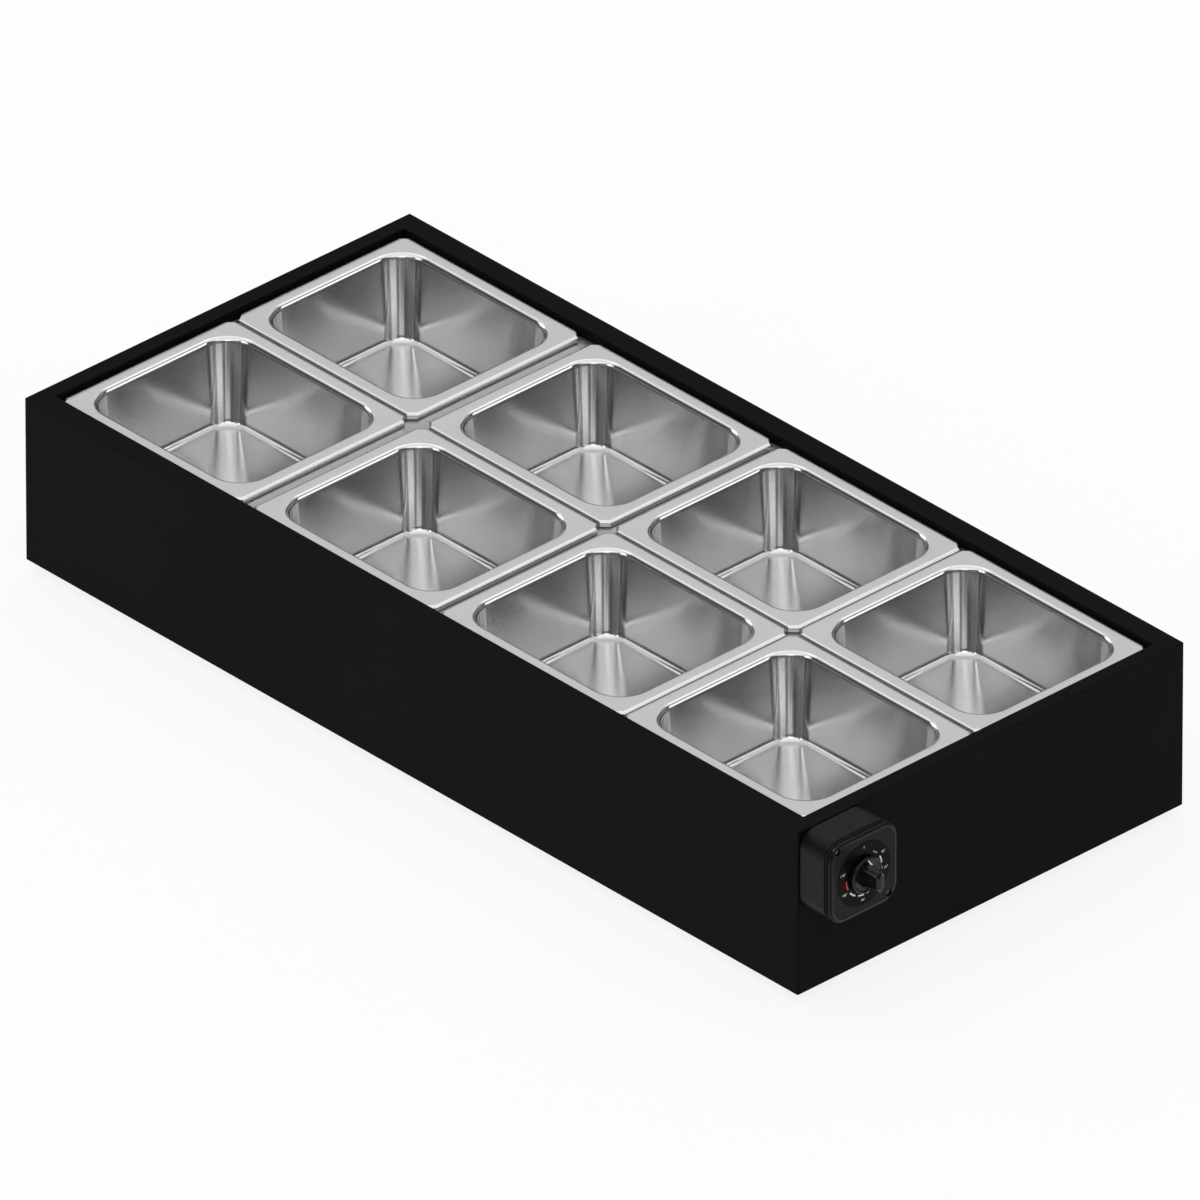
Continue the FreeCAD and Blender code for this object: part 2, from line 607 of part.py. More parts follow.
def make_pan(name, x, y):
    """Deep-drawn pan: a flange with a turned-down lip, a mouth, leaning walls with round
    corners and a heel into a flat floor. The rolls of the flange and the mouth, and the heel,
    are flat bevels that touch the round ones. Its origin is on top of the flange."""
    body = new_body(name)
    half_x, half_y = "(pan_length / 2)", "(pan_width / 2)"
    rim = new_sketch(body, "XY_Plane", "-lip_height")
    cut_corner_rectangle(rim, half_x, half_y, "flange_chamfer")
    pad(body, rim, "lip_height")
    hollow = new_sketch(body, "XY_Plane", "-lip_height")
    cut_corner_rectangle(hollow, f"({half_x} - pan_sheet)", f"({half_y} - pan_sheet)",
                         f"(flange_chamfer - pan_sheet * {CUT})")
    pocket(body, hollow, "lip_height - pan_sheet", back=True)
    chamfer(body, flat_at("-pan_sheet"), f"(flange_roll - pan_sheet) * {CUT}")
    chamfer(body, flat_at("0"), f"flange_roll * {CUT}")

    reach_x, reach_y = (f"({half} - pan_flange - mouth_roll)" for half in (half_x, half_y))
    inside = f"({half_x} - pan_flange / 2)", f"({half_y} - pan_flange / 2)"
    shell_top = new_sketch(body, "XY_Plane")
    rounded_rectangle(shell_top, f"({reach_x} + pan_sheet)", f"({reach_y} + pan_sheet)",
                      "(pan_corner + pan_sheet)")
    shell_foot = new_sketch(body, "XY_Plane", "-pan_depth")
    rounded_rectangle(shell_foot, f"({reach_x} - wall_taper + pan_sheet)",
                      f"({reach_y} - wall_taper + pan_sheet)", "(pan_corner - wall_taper + pan_sheet)")
    loft(body, "PartDesign::AdditiveLoft", shell_top, shell_foot)
    chamfer(body, within(flat_at("-pan_sheet"), *inside), f"(mouth_roll - pan_sheet) * {CUT}")

    bowl_top = new_sketch(body, "XY_Plane")
    rounded_rectangle(bowl_top, reach_x, reach_y, "pan_corner")
    bowl_foot = new_sketch(body, "XY_Plane", "pan_sheet - pan_depth")
    rounded_rectangle(bowl_foot, f"({reach_x} - wall_taper)", f"({reach_y} - wall_taper)",
                      "(pan_corner - wall_taper)")
    loft(body, "PartDesign::SubtractiveLoft", bowl_top, bowl_foot)
    chamfer(body, within(flat_at("0"), *inside), f"mouth_roll * {CUT}")
    chamfer(body, flat_at("pan_sheet - pan_depth"), f"pan_heel * {CUT}")
    chamfer(body, flat_at("-pan_depth"), f"(pan_heel + pan_sheet) * {CUT}")
    return keep(place(body, x, y, FLANGE_TOP))


# Well tank and the bars that carry the pans

def make_tank():
    body = new_body("well_tank")
    block = new_sketch(body, "XY_Plane", TANK_BOTTOM)
    rounded_rectangle(block, SHELL_X, SHELL_Y, "(tank_corner + tank_sheet)")
    pad(body, block, f"{SEAT} - {TANK_BOTTOM}")
    flange = new_sketch(body, "XY_Plane", LEDGE_TOP)
    centred_rectangle(flange, f"({RIM_X} - fit_gap)", f"({RIM_Y} - fit_gap)")
    pad(body, flange, "tank_sheet")
    well = new_sketch(body, "XY_Plane", SEAT)
    rounded_rectangle(well, TANK_X, TANK_Y, "tank_corner")
    pocket(body, well, f"{SEAT} - {TANK_FLOOR}")
    chamfer(body, flat_at(TANK_FLOOR), f"tank_heel * {CUT}")
    chamfer(body, flat_at(TANK_BOTTOM), f"(tank_heel + tank_sheet) * {CUT}")
    wall = new_sketch(body, "YZ_Plane", f"{SHELL_X} + tank_sheet")
    for side in ("-", ""):
        circle(wall, f"{side}{HEATER_OUT}", HEATER_Z, "bush_diameter + fit_gap")
    circle(wall, BULB_Y, BULB_Z, "gland_diameter + fit_gap")
    pocket(body, wall, "4 * tank_sheet")
    return keep(place(body))


def channel_profile(sketch):
    """Section of a support bar: a flat top with two skirts, its top at the sketch's origin."""
    half, inner = "(bar_width / 2)", "(bar_width / 2 - bar_sheet)"
    polygon(sketch, (
        (f"-{half}", "0"), (f"-{half}", "-bar_height"), (f"-{inner}", "-bar_height"),
        (f"-{inner}", "-bar_sheet"), (inner, "-bar_sheet"), (inner, "-bar_height"),
        (half, "-bar_height"), (half, "0")))


def make_row_bar():
    body = new_body("row_bar")
    section = new_sketch(body, "YZ_Plane", f"fit_gap - {TANK_X}")
    channel_profile(section)
    pad(body, section, f"2 * ({TANK_X} - fit_gap)")
    slots = new_sketch(body, "XZ_Plane")
    half = "(tongue_width / 2 + fit_gap)"
    for column in range(3):
        middle = bar_place(column)
        rectangle(slots, f"{middle} - {half}", f"{middle} + {half}",
                  "-2 * bar_sheet - fit_gap", "-bar_sheet")
    pocket(body, slots, "bar_width + 2 * bar_sheet", both=True)
    return keep(place(body, z=SEAT))


def make_cross_bar(name, column, side):
    """Half bar from the row bar to a long wall of the tank, with a tongue that enters the
    row bar's slot. Modelled towards the back and turned round for the front."""
    body = new_body(name)
    section = new_sketch(body, "XZ_Plane")
    channel_profile(section)
    pad(body, section, f"{TANK_Y} - bar_width / 2 - 2 * fit_gap", back=True)
    tongue = new_sketch(body, "XY_Plane", "-2 * bar_sheet")
    rectangle(tongue, "-tongue_width / 2", "tongue_width / 2", "-tongue_reach", "tongue_root")
    pad(body, tongue, "bar_sheet")
    turn = TURNED if side else UP
    return keep(place(body, bar_place(column), f"{side}(bar_width / 2 + fit_gap)", SEAT, turn))


def make_bar_brackets():
    """Angles on the tank wall, one under the end of every bar."""
    spots = [(bar_place(column), f"{side}{TANK_Y}", turn)
             for side, turn in (("", UP), ("-", TURNED)) for column in range(3)]
    spots += [(TANK_X, "0", TURNED_RIGHT), (f"-{TANK_X}", "0", TURNED_LEFT)]
    pieces = []
    for index, (x, y, turn) in enumerate(spots, start=1):
        body = new_body(f"bar_bracket_{index}")
        angle = new_sketch(body, "YZ_Plane")
        polygon(angle, (
            ("0", "0"), ("-bracket_leg", "0"), ("-bracket_leg", "-bracket_sheet"),
            ("-bracket_sheet", "-bracket_sheet"), ("-bracket_sheet", "-bracket_leg"),
            ("0", "-bracket_leg")))
        pad(body, angle, "bracket_width", both=True)
        pieces.append(place(body, x, y, f"{SEAT} - bar_sheet", turn))
    return group("bar_brackets", pieces)


# Heating element

def make_heater_tube():
    """One element bent into a long U, with both ends through the tank's right wall."""
    body = new_body("heater_tube")
    end = f"({SHELL_X} + bush_reach)"
    turn_x = f"({HEATER_OUT} + heater_margin - {TANK_X})"
    path = new_sketch(body, "XY_Plane")
    stops = ((end, f"-{HEATER_OUT}"), (turn_x, f"-{HEATER_OUT}"), (turn_x, HEATER_OUT), (end, HEATER_OUT))
    spots = [flat_point(number(x), number(y)) for x, y in stops]
    crown = flat_point(number(f"heater_margin - {TANK_X}"), 0)
    front = path.addGeometry(Part.LineSegment(spots[0], spots[1]), False)
    back = path.addGeometry(Part.LineSegment(spots[2], spots[3]), False)
    bend = path.addGeometry(Part.Arc(spots[1], crown, spots[2]), False)
    for line, (start, stop) in ((front, stops[:2]), (back, stops[2:])):
        fix_point(path, line, 1, *start)
        fix_point(path, line, 2, *stop)
    path.addConstraint(Sketcher.Constraint("Coincident", front, 2, bend, 2))
    path.addConstraint(Sketcher.Constraint("Coincident", back, 1, bend, 1))
    fix_value(path, "DistanceX", (-1, 1, bend, 3), turn_x)
    section = new_sketch(body, "YZ_Plane", end)
    circle(section, f"-{HEATER_OUT}", "0", "heater_diameter")
    sweep = body.newObject("PartDesign::AdditivePipe", "heater_sweep")
    sweep.Profile = section
    sweep.Spine = (path, [])
    doc.recompute()
    return keep(place(body, z=HEATER_Z))


def make_heater_ends():
    """Each end of the element: a bush with its collar inside the tank, its nut outside, and a
    ceramic insulator with a terminal pin."""
    bushes, nuts, terminals = [], [], []
    bore = "heater_diameter + fit_gap"
    for tag, side in (("front", "-"), ("back", "")):
        y = f"{side}{HEATER_OUT}"
        bush = turned(f"bush_{tag}", (
            ("bush_collar / 2", "0"), ("bush_collar / 2", "bush_collar_depth"),
            ("bush_diameter / 2", "bush_collar_depth"),
            ("bush_diameter / 2", "bush_collar_depth + tank_sheet + bush_reach")), bore)
        bushes.append(place(bush, f"({TANK_X} - bush_collar_depth)", y, HEATER_Z, RIGHT))
        ring = nut(f"heater_nut_{tag}", "bush_collar", "nut_depth", "bush_diameter + fit_gap")
        nuts.append(place(ring, SHELL_X, y, HEATER_Z, RIGHT))
        terminal = turned(f"terminal_{tag}", (
            ("heater_diameter / 2", "0"), ("terminal_pin_diameter / 2", "terminal_depth"),
            ("terminal_pin_diameter / 2", "terminal_depth + terminal_pin")))
        terminals.append(place(terminal, f"({SHELL_X} + bush_reach)", y, HEATER_Z, RIGHT))
    group("heater_bushes", bushes)
    group("heater_nuts", nuts)
    group("heater_terminals", terminals)


def make_rests():
    """Folded strips on the tank floor whose notches cradle the element's two runs."""
    pieces = []
    for index in range(3):
        body = new_body(f"element_rest_{index + 1}")
        half = f"({HEATER_OUT} + rest_overhang)"
        web = new_sketch(body, "YZ_Plane")
        rectangle(web, f"-{half}", half, "0", HEATER_HEIGHT)
        pad(body, web, "rest_sheet")
        foot = new_sketch(body, "XY_Plane")
        rectangle(foot, "0", "rest_foot", f"-{half}", half)
        pad(body, foot, "rest_sheet")
        notches = new_sketch(body, "YZ_Plane")
        reach = "(heater_diameter / 2 + fit_gap)"
        for side in ("-", ""):
            middle = f"{side}{HEATER_OUT}"
            rectangle(notches, f"{middle} - {reach}", f"{middle} + {reach}",
                      f"{HEATER_HEIGHT} - {reach}", HEATER_HEIGHT)
        pocket(body, notches, "rest_foot", back=True)
        pieces.append(place(body, f"({index - 1} * rest_pitch)", "0", TANK_FLOOR))
    return group("element_rests", pieces)


# Thermostat: bulb in the water, capillary through the wall, body behind the knob

def make_bulb():
    bulb = turned("thermostat_bulb", (("bulb_diameter / 2", "0"), ("bulb_diameter / 2", "bulb_length")))
    return keep(place(bulb, f"({TANK_X} - bulb_setback)", BULB_Y, BULB_Z, LEFT))


def make_bulb_clips():
    """Two folded tabs on the tank floor; the bulb is pushed through their holes."""
    pieces = []
    for index, share in enumerate((0.25, 0.75), start=1):
        body = new_body(f"bulb_clip_{index}")
        web = new_sketch(body, "YZ_Plane")
        rectangle(web, "-clip_width / 2", "clip_width / 2", "0",
                  f"{BULB_HEIGHT} + bulb_diameter / 2 + 2 * clip_sheet")
        circle(web, "0", BULB_HEIGHT, "bulb_diameter + 2 * fit_gap")
        pad(body, web, "clip_sheet")
        foot = new_sketch(body, "XY_Plane")
        rectangle(foot, "0", "clip_width", "-clip_width / 2", "clip_width / 2")
        pad(body, foot, "clip_sheet")
        x = f"({TANK_X} - bulb_setback - {share} * bulb_length)"
        pieces.append(place(body, x, BULB_Y, TANK_FLOOR))
    return group("bulb_clips", pieces)


def make_capillary():
    """Thin tube from the bulb through the tank wall, up beside it and into the control box."""
    body = new_body("capillary_tube")
    rise_x = f"(({SHELL_X} + {WALL_X}) / 2 - {TANK_X} + bulb_setback)"
    rise_z = f"({BOX_Z} - capillary_drop - {BULB_Z})"
    end_x = f"({THERMOSTAT_X} - thermostat_depth - {TANK_X} + bulb_setback)"
    path = new_sketch(body, "XZ_Plane")
    stops = (("0", "0"), (rise_x, "0"), (rise_x, rise_z), (end_x, rise_z))
    spots = [flat_point(number(x), number(z)) for x, z in stops]
    for index in range(3):
        line = path.addGeometry(Part.LineSegment(spots[index], spots[index + 1]), False)
        fix_point(path, line, 1, *stops[index])
        if index:
            path.addConstraint(Sketcher.Constraint("Coincident", line - 1, 2, line, 1))
    fix_point(path, line, 2, *stops[3])
    section = new_sketch(body, "YZ_Plane")
    circle(section, "0", "0", "capillary_diameter")
    sweep = body.newObject("PartDesign::AdditivePipe", "capillary_sweep")
    sweep.Profile = section
    sweep.Spine = (path, [])
    sweep.Transition = "Right corner"
    doc.recompute()
    return keep(place(body, f"({TANK_X} - bulb_setback)", BULB_Y, BULB_Z))


def make_capillary_gland():
    """Bush in the tank wall round the capillary, with its nut outside."""
    bush = turned("gland_bush", (
        ("gland_collar / 2", "0"), ("gland_collar / 2", "gland_depth"),
        ("gland_diameter / 2", "gland_depth"),
        ("gland_diameter / 2", "gland_depth + tank_sheet + gland_reach")),
        "capillary_diameter + fit_gap")
    place(bush, f"({TANK_X} - gland_depth)", BULB_Y, BULB_Z, RIGHT)
    ring = nut("gland_ring", "gland_collar", "gland_depth", "gland_diameter + fit_gap")
    place(ring, SHELL_X, BULB_Y, BULB_Z, RIGHT)
    return group("capillary_gland", [bush, ring])


def make_thermostat():
    """Moulded body with a threaded bush in front and a bore for the knob's spindle."""
    body = new_body("thermostat_body")
    block = new_sketch(body, "YZ_Plane")
    cut_corner_rectangle(block, "(thermostat_width / 2)", "(thermostat_height / 2)",
                         "thermostat_cut")
    pad(body, block, "thermostat_depth", back=True)
    neck = new_sketch(body, "YZ_Plane")
    circle(neck, "0", "0", "thermostat_bush")
    pad(body, neck, "thermostat_bush_reach")
    bore = new_sketch(body, "YZ_Plane", "thermostat_bush_reach")
    circle(bore, "0", "0", "spindle_diameter + 2 * spindle_fit")
    pocket(body, bore, "thermostat_bush_reach + spindle_seat + fit_gap")
    return keep(place(body, THERMOSTAT_X, BOX_Y, BOX_Z))


# Control box

def make_box_gasket():
    body = new_body("box_gasket")
    outline = new_sketch(body, "YZ_Plane")
    rounded_rectangle(outline, "(box_width / 2 - cover_gasket_inset)",
                      "(box_height / 2 - cover_gasket_inset)", "(box_corner - cover_gasket_inset)")
    cable_window(outline, "0", "0")
    pad(body, outline, "box_gasket_depth")
    return keep(place(body, CASING_X, BOX_Y, BOX_Z))


def cover_screw_places():
    """Upper front corner and lower back corner, seen from the control's end."""
    side_y, side_z = "(box_width / 2 - cover_screw_side)", "(box_height / 2 - cover_screw_up)"
    return ((f"-{side_y}", side_z), (side_y, f"-{side_z}"))


def make_control_box():
    """Moulded rear body: a round-cornered cup with two screw bosses, open to the cover."""
    body = new_body("control_box")
    outline = new_sketch(body, "YZ_Plane")
    rounded_rectangle(outline, "(box_width / 2)", "(box_height / 2)", "box_corner")
    pad(body, outline, "box_depth")
    cavity = new_sketch(body, "YZ_Plane", "box_depth")
    rounded_rectangle(cavity, "(box_width / 2 - box_wall)", "(box_height / 2 - box_wall)",
                      "(box_corner - box_wall)")
    pocket(body, cavity, "box_depth - box_wall")
    bosses = new_sketch(body, "YZ_Plane", "box_wall / 2")
    for y, z in cover_screw_places():
        circle(bosses, y, z, "boss_diameter")
    pad(body, bosses, "box_depth - box_wall / 2")
    pilots = new_sketch(body, "YZ_Plane", "box_depth")
    for y, z in cover_screw_places():
        circle(pilots, y, z, "sheet_screw + screw_play")
    pocket(body, pilots, "cover_screw_reach + sheet_screw")
    back = new_sketch(body, "YZ_Plane", "box_wall")
    cable_window(back, "0", "0")
    pocket(body, back, "2 * box_wall")
    return keep(place(body, BOX_X, BOX_Y, BOX_Z))


def make_cover_gasket():
    body = new_body("cover_gasket")
    ring = new_sketch(body, "YZ_Plane")
    rounded_rectangle(ring, "(box_width / 2 - cover_gasket_inset)",
                      "(box_height / 2 - cover_gasket_inset)", "(box_corner - cover_gasket_inset)")
    rounded_rectangle(ring, "(box_width / 2 - box_wall - cover_gasket_inset)",
                      "(box_height / 2 - box_wall - cover_gasket_inset)",
                      "(box_corner - box_wall - cover_gasket_inset)")
    pad(body, ring, "cover_gasket_depth")
    holes = new_sketch(body, "YZ_Plane")
    for y, z in cover_screw_places():
        circle(holes, y, z, "sheet_screw + screw_play")
    pocket(body, holes, "cover_gasket_depth", back=True)
    return keep(place(body, f"({BOX_X} + box_depth)", BOX_Y, BOX_Z))


def make_cover():
    """Moulded front with a raised bead round its edge, a round seat for the dial, sunk screw
    holes at two corners and a recess behind for the thermostat."""
    body = new_body("control_cover")
    half_y, half_z = "(box_width / 2)", "(box_height / 2)"
    outline = new_sketch(body, "YZ_Plane")
    rounded_rectangle(outline, half_y, half_z, "box_corner")
    pad(body, outline, "cover_depth")
    chamfer(body, flat_at("cover_depth", "X"), f"cover_edge * {CUT}")
    bead = new_sketch(body, "YZ_Plane", "cover_depth - bead_rise")
    for inset in ("bead_inset", "(bead_inset + bead_width)"):
        rounded_rectangle(bead, f"({half_y} - {inset})", f"({half_z} - {inset})",
                          f"(box_corner - {inset})")
    pad(body, bead, "2 * bead_rise")
    seat = new_sketch(body, "YZ_Plane", "cover_depth")
    circle(seat, "0", "0", "dial_diameter + 2 * dial_gap")
    pocket(body, seat, "dial_sunk")
    recess = new_sketch(body, "YZ_Plane")
    centred_rectangle(recess, "(thermostat_width / 2 + fit_gap)", "(thermostat_height / 2 + fit_gap)")
    pocket(body, recess, "cover_depth - cover_front", back=True)
    through = new_sketch(body, "YZ_Plane", "cover_depth + 2 * bead_rise")
    circle(through, "0", "0", "thermostat_bush + 2 * fit_gap")
    for y, z in cover_screw_places():
        circle(through, y, z, "sheet_screw + screw_play")
    pocket(body, through, "cover_depth + 4 * bead_rise")
    sinks = new_sketch(body, "YZ_Plane", "cover_depth + 2 * bead_rise")
    for y, z in cover_screw_places():
        circle(sinks, y, z, "cover_screw_head + screw_play")
    pocket(body, sinks, "cover_screw_recess + screw_head_depth + 2 * bead_rise")
    return keep(place(body, COVER_BACK, BOX_Y, BOX_Z))


def make_cover_screws():
    pieces = []
    for index, (y, z) in enumerate(cover_screw_places(), start=1):
        head_x = f"({COVER_FRONT} - cover_screw_recess - screw_head_depth)"
        piece = screw(f"cover_screw_{index}", "cover_screw_head", "screw_head_depth", "sheet_screw",
                      f"{head_x} - {BOX_X} - box_depth + cover_screw_reach")
        slot = new_sketch(piece, "XY_Plane", "screw_head_depth")
        centred_rectangle(slot, "(cover_screw_head / 2)", "(cover_screw_head / 10)")
        pocket(piece, slot, "screw_head_depth / 2")
        pieces.append(place(piece, head_x, f"({BOX_Y} + {y})", f"({BOX_Z} + {z})", RIGHT))
    return group("cover_screws", pieces)


def make_dial():
    dial = turned("dial_plate", (("dial_diameter / 2", "0"), ("dial_diameter / 2", "dial_depth")),
                  "thermostat_bush + 2 * fit_gap")
    return keep(place(dial, DIAL_BACK, BOX_Y, BOX_Z, RIGHT))


def make_spindle():
    """Shaft from the thermostat into the knob, with a flat along its free end."""
    body = turned("knob_spindle", (
        ("spindle_diameter / 2", "-spindle_seat"),
        ("spindle_diameter / 2", f"{COVER_FRONT} + spindle_reach - {THERMOSTAT_X}")))
    flat = new_sketch(body, "XY_Plane", f"{COVER_FRONT} + spindle_reach - {THERMOSTAT_X}")
    rectangle(flat, "-spindle_diameter", "spindle_flat - spindle_diameter / 2",
              "-spindle_diameter", "spindle_diameter")
    pocket(body, flat, f"{COVER_FRONT} + spindle_reach - {KNOB_BACK}")
    return keep(place(body, THERMOSTAT_X, BOX_Y, BOX_Z, RIGHT))


def d_outline(sketch):
    """Bore for the spindle and its flat, with the running clearance all round."""
    radius = number("spindle_diameter / 2 + spindle_fit")
    flat = number("spindle_diameter / 2 - spindle_flat + spindle_fit")
    half = math.sqrt(radius ** 2 - flat ** 2)
    start, stop = flat_point(-half, flat), flat_point(half, flat)
    arc = sketch.addGeometry(Part.Arc(start, flat_point(0, -radius), stop), False)
    line = sketch.addGeometry(Part.LineSegment(stop, start), False)
    sketch.addConstraint(Sketcher.Constraint("Coincident", arc, 2, line, 1))
    sketch.addConstraint(Sketcher.Constraint("Coincident", line, 2, arc, 1))
    sketch.addConstraint(Sketcher.Constraint("Horizontal", line))
    fix_point(sketch, arc, 3, "0", "0")
    fix_value(sketch, "Radius", (arc,), "spindle_diameter / 2 + spindle_fit")
    fix_value(sketch, "DistanceY", (-1, 1, line, 1), "spindle_diameter / 2 - spindle_flat + spindle_fit")


def wedge(body, level, half_y, half_z):
    """Outline across a knob grip: a long bar with pointed ends."""
    sketch = new_sketch(body, "YZ_Plane", level)
    flank = f"({half_z} - {half_y})"
    polygon(sketch, (
        (f"-{half_y}", f"-{flank}"), ("0", f"-{half_z}"), (half_y, f"-{flank}"),
        (half_y, flank), ("0", half_z), (f"-{half_y}", flank)))
    return sketch


def make_knob():
    """Round skirt with a dished front and a raised bar grip that narrows to its top; the
    pointer line is cut into the grip's upper end. Hollow behind, with a hub on the spindle."""
    body = new_body("control_knob")
    skirt = new_sketch(body, "XZ_Plane")
    front = "(knob_diameter / 2 - skirt_taper)"
    dish = f"({front} - skirt_lip)"
    polygon(skirt, (
        ("0", "0"), ("0", "knob_diameter / 2"), ("skirt_rise - skirt_taper", "knob_diameter / 2"),
        ("skirt_rise", front), ("skirt_rise", dish),
        ("skirt_rise - skirt_dish", f"{dish} - skirt_dish"), ("skirt_rise - skirt_dish", "0")))
    revolve(body, skirt, "H_Axis")
    foot = wedge(body, "skirt_rise - 2 * skirt_dish", "(grip_width / 2)", "(grip_length / 2)")
    top = wedge(body, KNOB_LENGTH, "(grip_top_width / 2)", "(grip_top_length / 2)")
    loft(body, "PartDesign::AdditiveLoft", foot, top)
    hollow = new_sketch(body, "YZ_Plane")
    circle(hollow, "0", "0", "knob_diameter - 4 * skirt_lip")
    circle(hollow, "0", "0", "knob_hub")
    pocket(body, hollow, "knob_hollow", back=True)
    bore = new_sketch(body, "YZ_Plane")
    d_outline(bore)
    pocket(body, bore, f"{COVER_FRONT} + spindle_reach + fit_gap - {KNOB_BACK}", back=True)
    pointer = new_sketch(body, "YZ_Plane", KNOB_LENGTH)
    rectangle(pointer, "-pointer_width / 2", "pointer_width / 2",
              "grip_top_length / 2 - pointer_length", "grip_length / 2")
    pocket(body, pointer, "pointer_depth")
    return keep(place(body, KNOB_BACK, BOX_Y, BOX_Z))


# Base, feet, insulation and wiring

def make_base_plate():
    """Bottom sheet on the housing's turned-in edge, with a row of vents under the wiring."""
    body = new_body("base_plate")
    plate = new_sketch(body, "XY_Plane")
    centred_rectangle(plate, f"({WALL_X} - fit_gap)", f"({WALL_Y} - fit_gap)")
    pad(body, plate, "base_sheet")
    vent = new_sketch(body, "XY_Plane")
    first = "(-vent_pitch * (vent_count - 1) / 2)"
    rectangle(vent, f"{BAY_MIDDLE} - vent_length / 2", f"{BAY_MIDDLE} + vent_length / 2",
              f"{first} - vent_width / 2", f"{first} + vent_width / 2")
    slot = pocket(body, vent, "base_sheet", back=True)
    row = body.newObject("PartDesign::LinearPattern", "vent_row")
    row.Originals = [slot]
    row.Direction = (vent, ["V_Axis"])
    bind(row, "Length", "vent_pitch * (vent_count - 1)")
    bind(row, "Occurrences", "vent_count")
    body.Tip = row
    doc.recompute()
    return keep(place(body, z="(foot_height + casing_sheet)"))


def make_feet():
    """Tapered rubber feet under the base plate."""
    names = ("foot_front_left", "foot_front_right", "foot_back_left", "foot_back_right")
    for name, (x, y) in zip(names, foot_places()):
        foot = turned(name, (
            ("foot_diameter / 2 - foot_taper", "0"),
            ("foot_diameter / 2", "foot_height + casing_sheet")))
        keep(place(foot, x, y))


def board(name, left, right, front, back, low, high):
    body = new_body(name)
    outline = new_sketch(body, "XY_Plane", low)
    rectangle(outline, left, right, front, back)
    pad(body, outline, f"({high}) - ({low})")
    return place(body)


def make_insulation():
    """Mineral boards under the tank and between the tank and three walls of the housing; the
    control end stays free for the wiring."""
    slab_top = f"({TANK_BOTTOM} - fit_gap)"
    board_top = f"({LEDGE_TOP} - casing_sheet - slab_headroom)"
    inner_x, inner_y = f"({SHELL_X} + fit_gap)", f"({SHELL_Y} + fit_gap)"
    outer_x, outer_y = f"({WALL_X} - fit_gap)", f"({WALL_Y} - fit_gap)"
    bay = f"({WALL_X} - bay_length)"
    keep(board("insulation_base", f"return_width - {CASING_X}", bay,
               f"return_width - {CASING_Y}", f"{CASING_Y} - return_width", BASE_TOP, slab_top))
    keep(board("insulation_front", f"-{outer_x}", bay, f"-{outer_y}", f"-{inner_y}", slab_top, board_top))
    keep(board("insulation_back", f"-{outer_x}", bay, inner_y, outer_y, slab_top, board_top))
    keep(board("insulation_left", f"-{outer_x}", f"-{inner_x}", f"-{SHELL_Y}", SHELL_Y,
               slab_top, board_top))


def make_cord_gland():
    """Gland through the back wall for the supply cord, with its nut inside the housing."""
    inside = "casing_sheet + cord_inside"
    gland = new_body("cable_gland")
    hexagonal = new_sketch(gland, "XY_Plane")
    hexagon(hexagonal, "cord_hex")
    pad(gland, hexagonal, "cord_hex_depth")
    thread = new_sketch(gland, "XY_Plane")
    circle(thread, "0", "0", "cord_thread")
    pad(gland, thread, inside, back=True)
    foot = new_sketch(gland, "XY_Plane", "cord_hex_depth")
    circle(foot, "0", "0", "cord_thread")
    end = new_sketch(gland, "XY_Plane", "cord_hex_depth + cord_cap_depth")
    circle(end, "0", "0", "cord_cap_end")
    loft(gland, "PartDesign::AdditiveLoft", foot, end)
    bore = new_sketch(gland, "XY_Plane", "cord_hex_depth + cord_cap_depth")
    circle(bore, "0", "0", "cord_bore")
    pocket(gland, bore, f"cord_hex_depth + cord_cap_depth + {inside}")
    keep(place(gland, CORD_X, CASING_Y, "cord_height", BACK))
    ring = nut("gland_nut", "cord_hex", "cord_hex_depth", "cord_thread + screw_play")
    return keep(place(ring, CORD_X, WALL_Y, "cord_height", FRONT))


def make_terminal_block():
    """Moulded block for the cord's three cores: a raised middle with an entry for each core,
    and a lower ledge at each end."""
    body = new_body("terminal_block")
    side = new_sketch(body, "YZ_Plane")
    half, raised = "(block_length / 2)", "(block_length / 2 - block_ledge)"
    polygon(side, (
        (f"-{half}", "0"), (half, "0"), (half, "block_height / 3"), (raised, "block_height / 3"),
        (raised, "block_height"), (f"-{raised}", "block_height"),
        (f"-{raised}", "block_height / 3"), (f"-{half}", "block_height / 3")))
    pad(body, side, "block_width", both=True)
    entries = new_sketch(body, "YZ_Plane", "block_width / 2")
    for core in (-1, 0, 1):
        circle(entries, f"{core} * block_pitch", "block_height / 2", "block_core")
    pocket(body, entries, "block_width")
    return keep(place(body, BLOCK_X, BLOCK_Y, BASE_TOP))


def make_safety_cutout():
    """Disc thermostat under the tank floor, held by its flange."""
    body = turned("safety_cutout", (
        ("cutout_diameter / 2", "-cutout_height"), ("cutout_diameter / 2", "0")))
    flange = new_sketch(body, "XY_Plane", "-cutout_sheet")
    rectangle(flange, "-cutout_diameter / 4", "cutout_diameter / 4",
              "-cutout_flange / 2", "cutout_flange / 2")
    pad(body, flange, "cutout_sheet")
    return keep(place(body, BAY_MIDDLE, "0", TANK_BOTTOM))


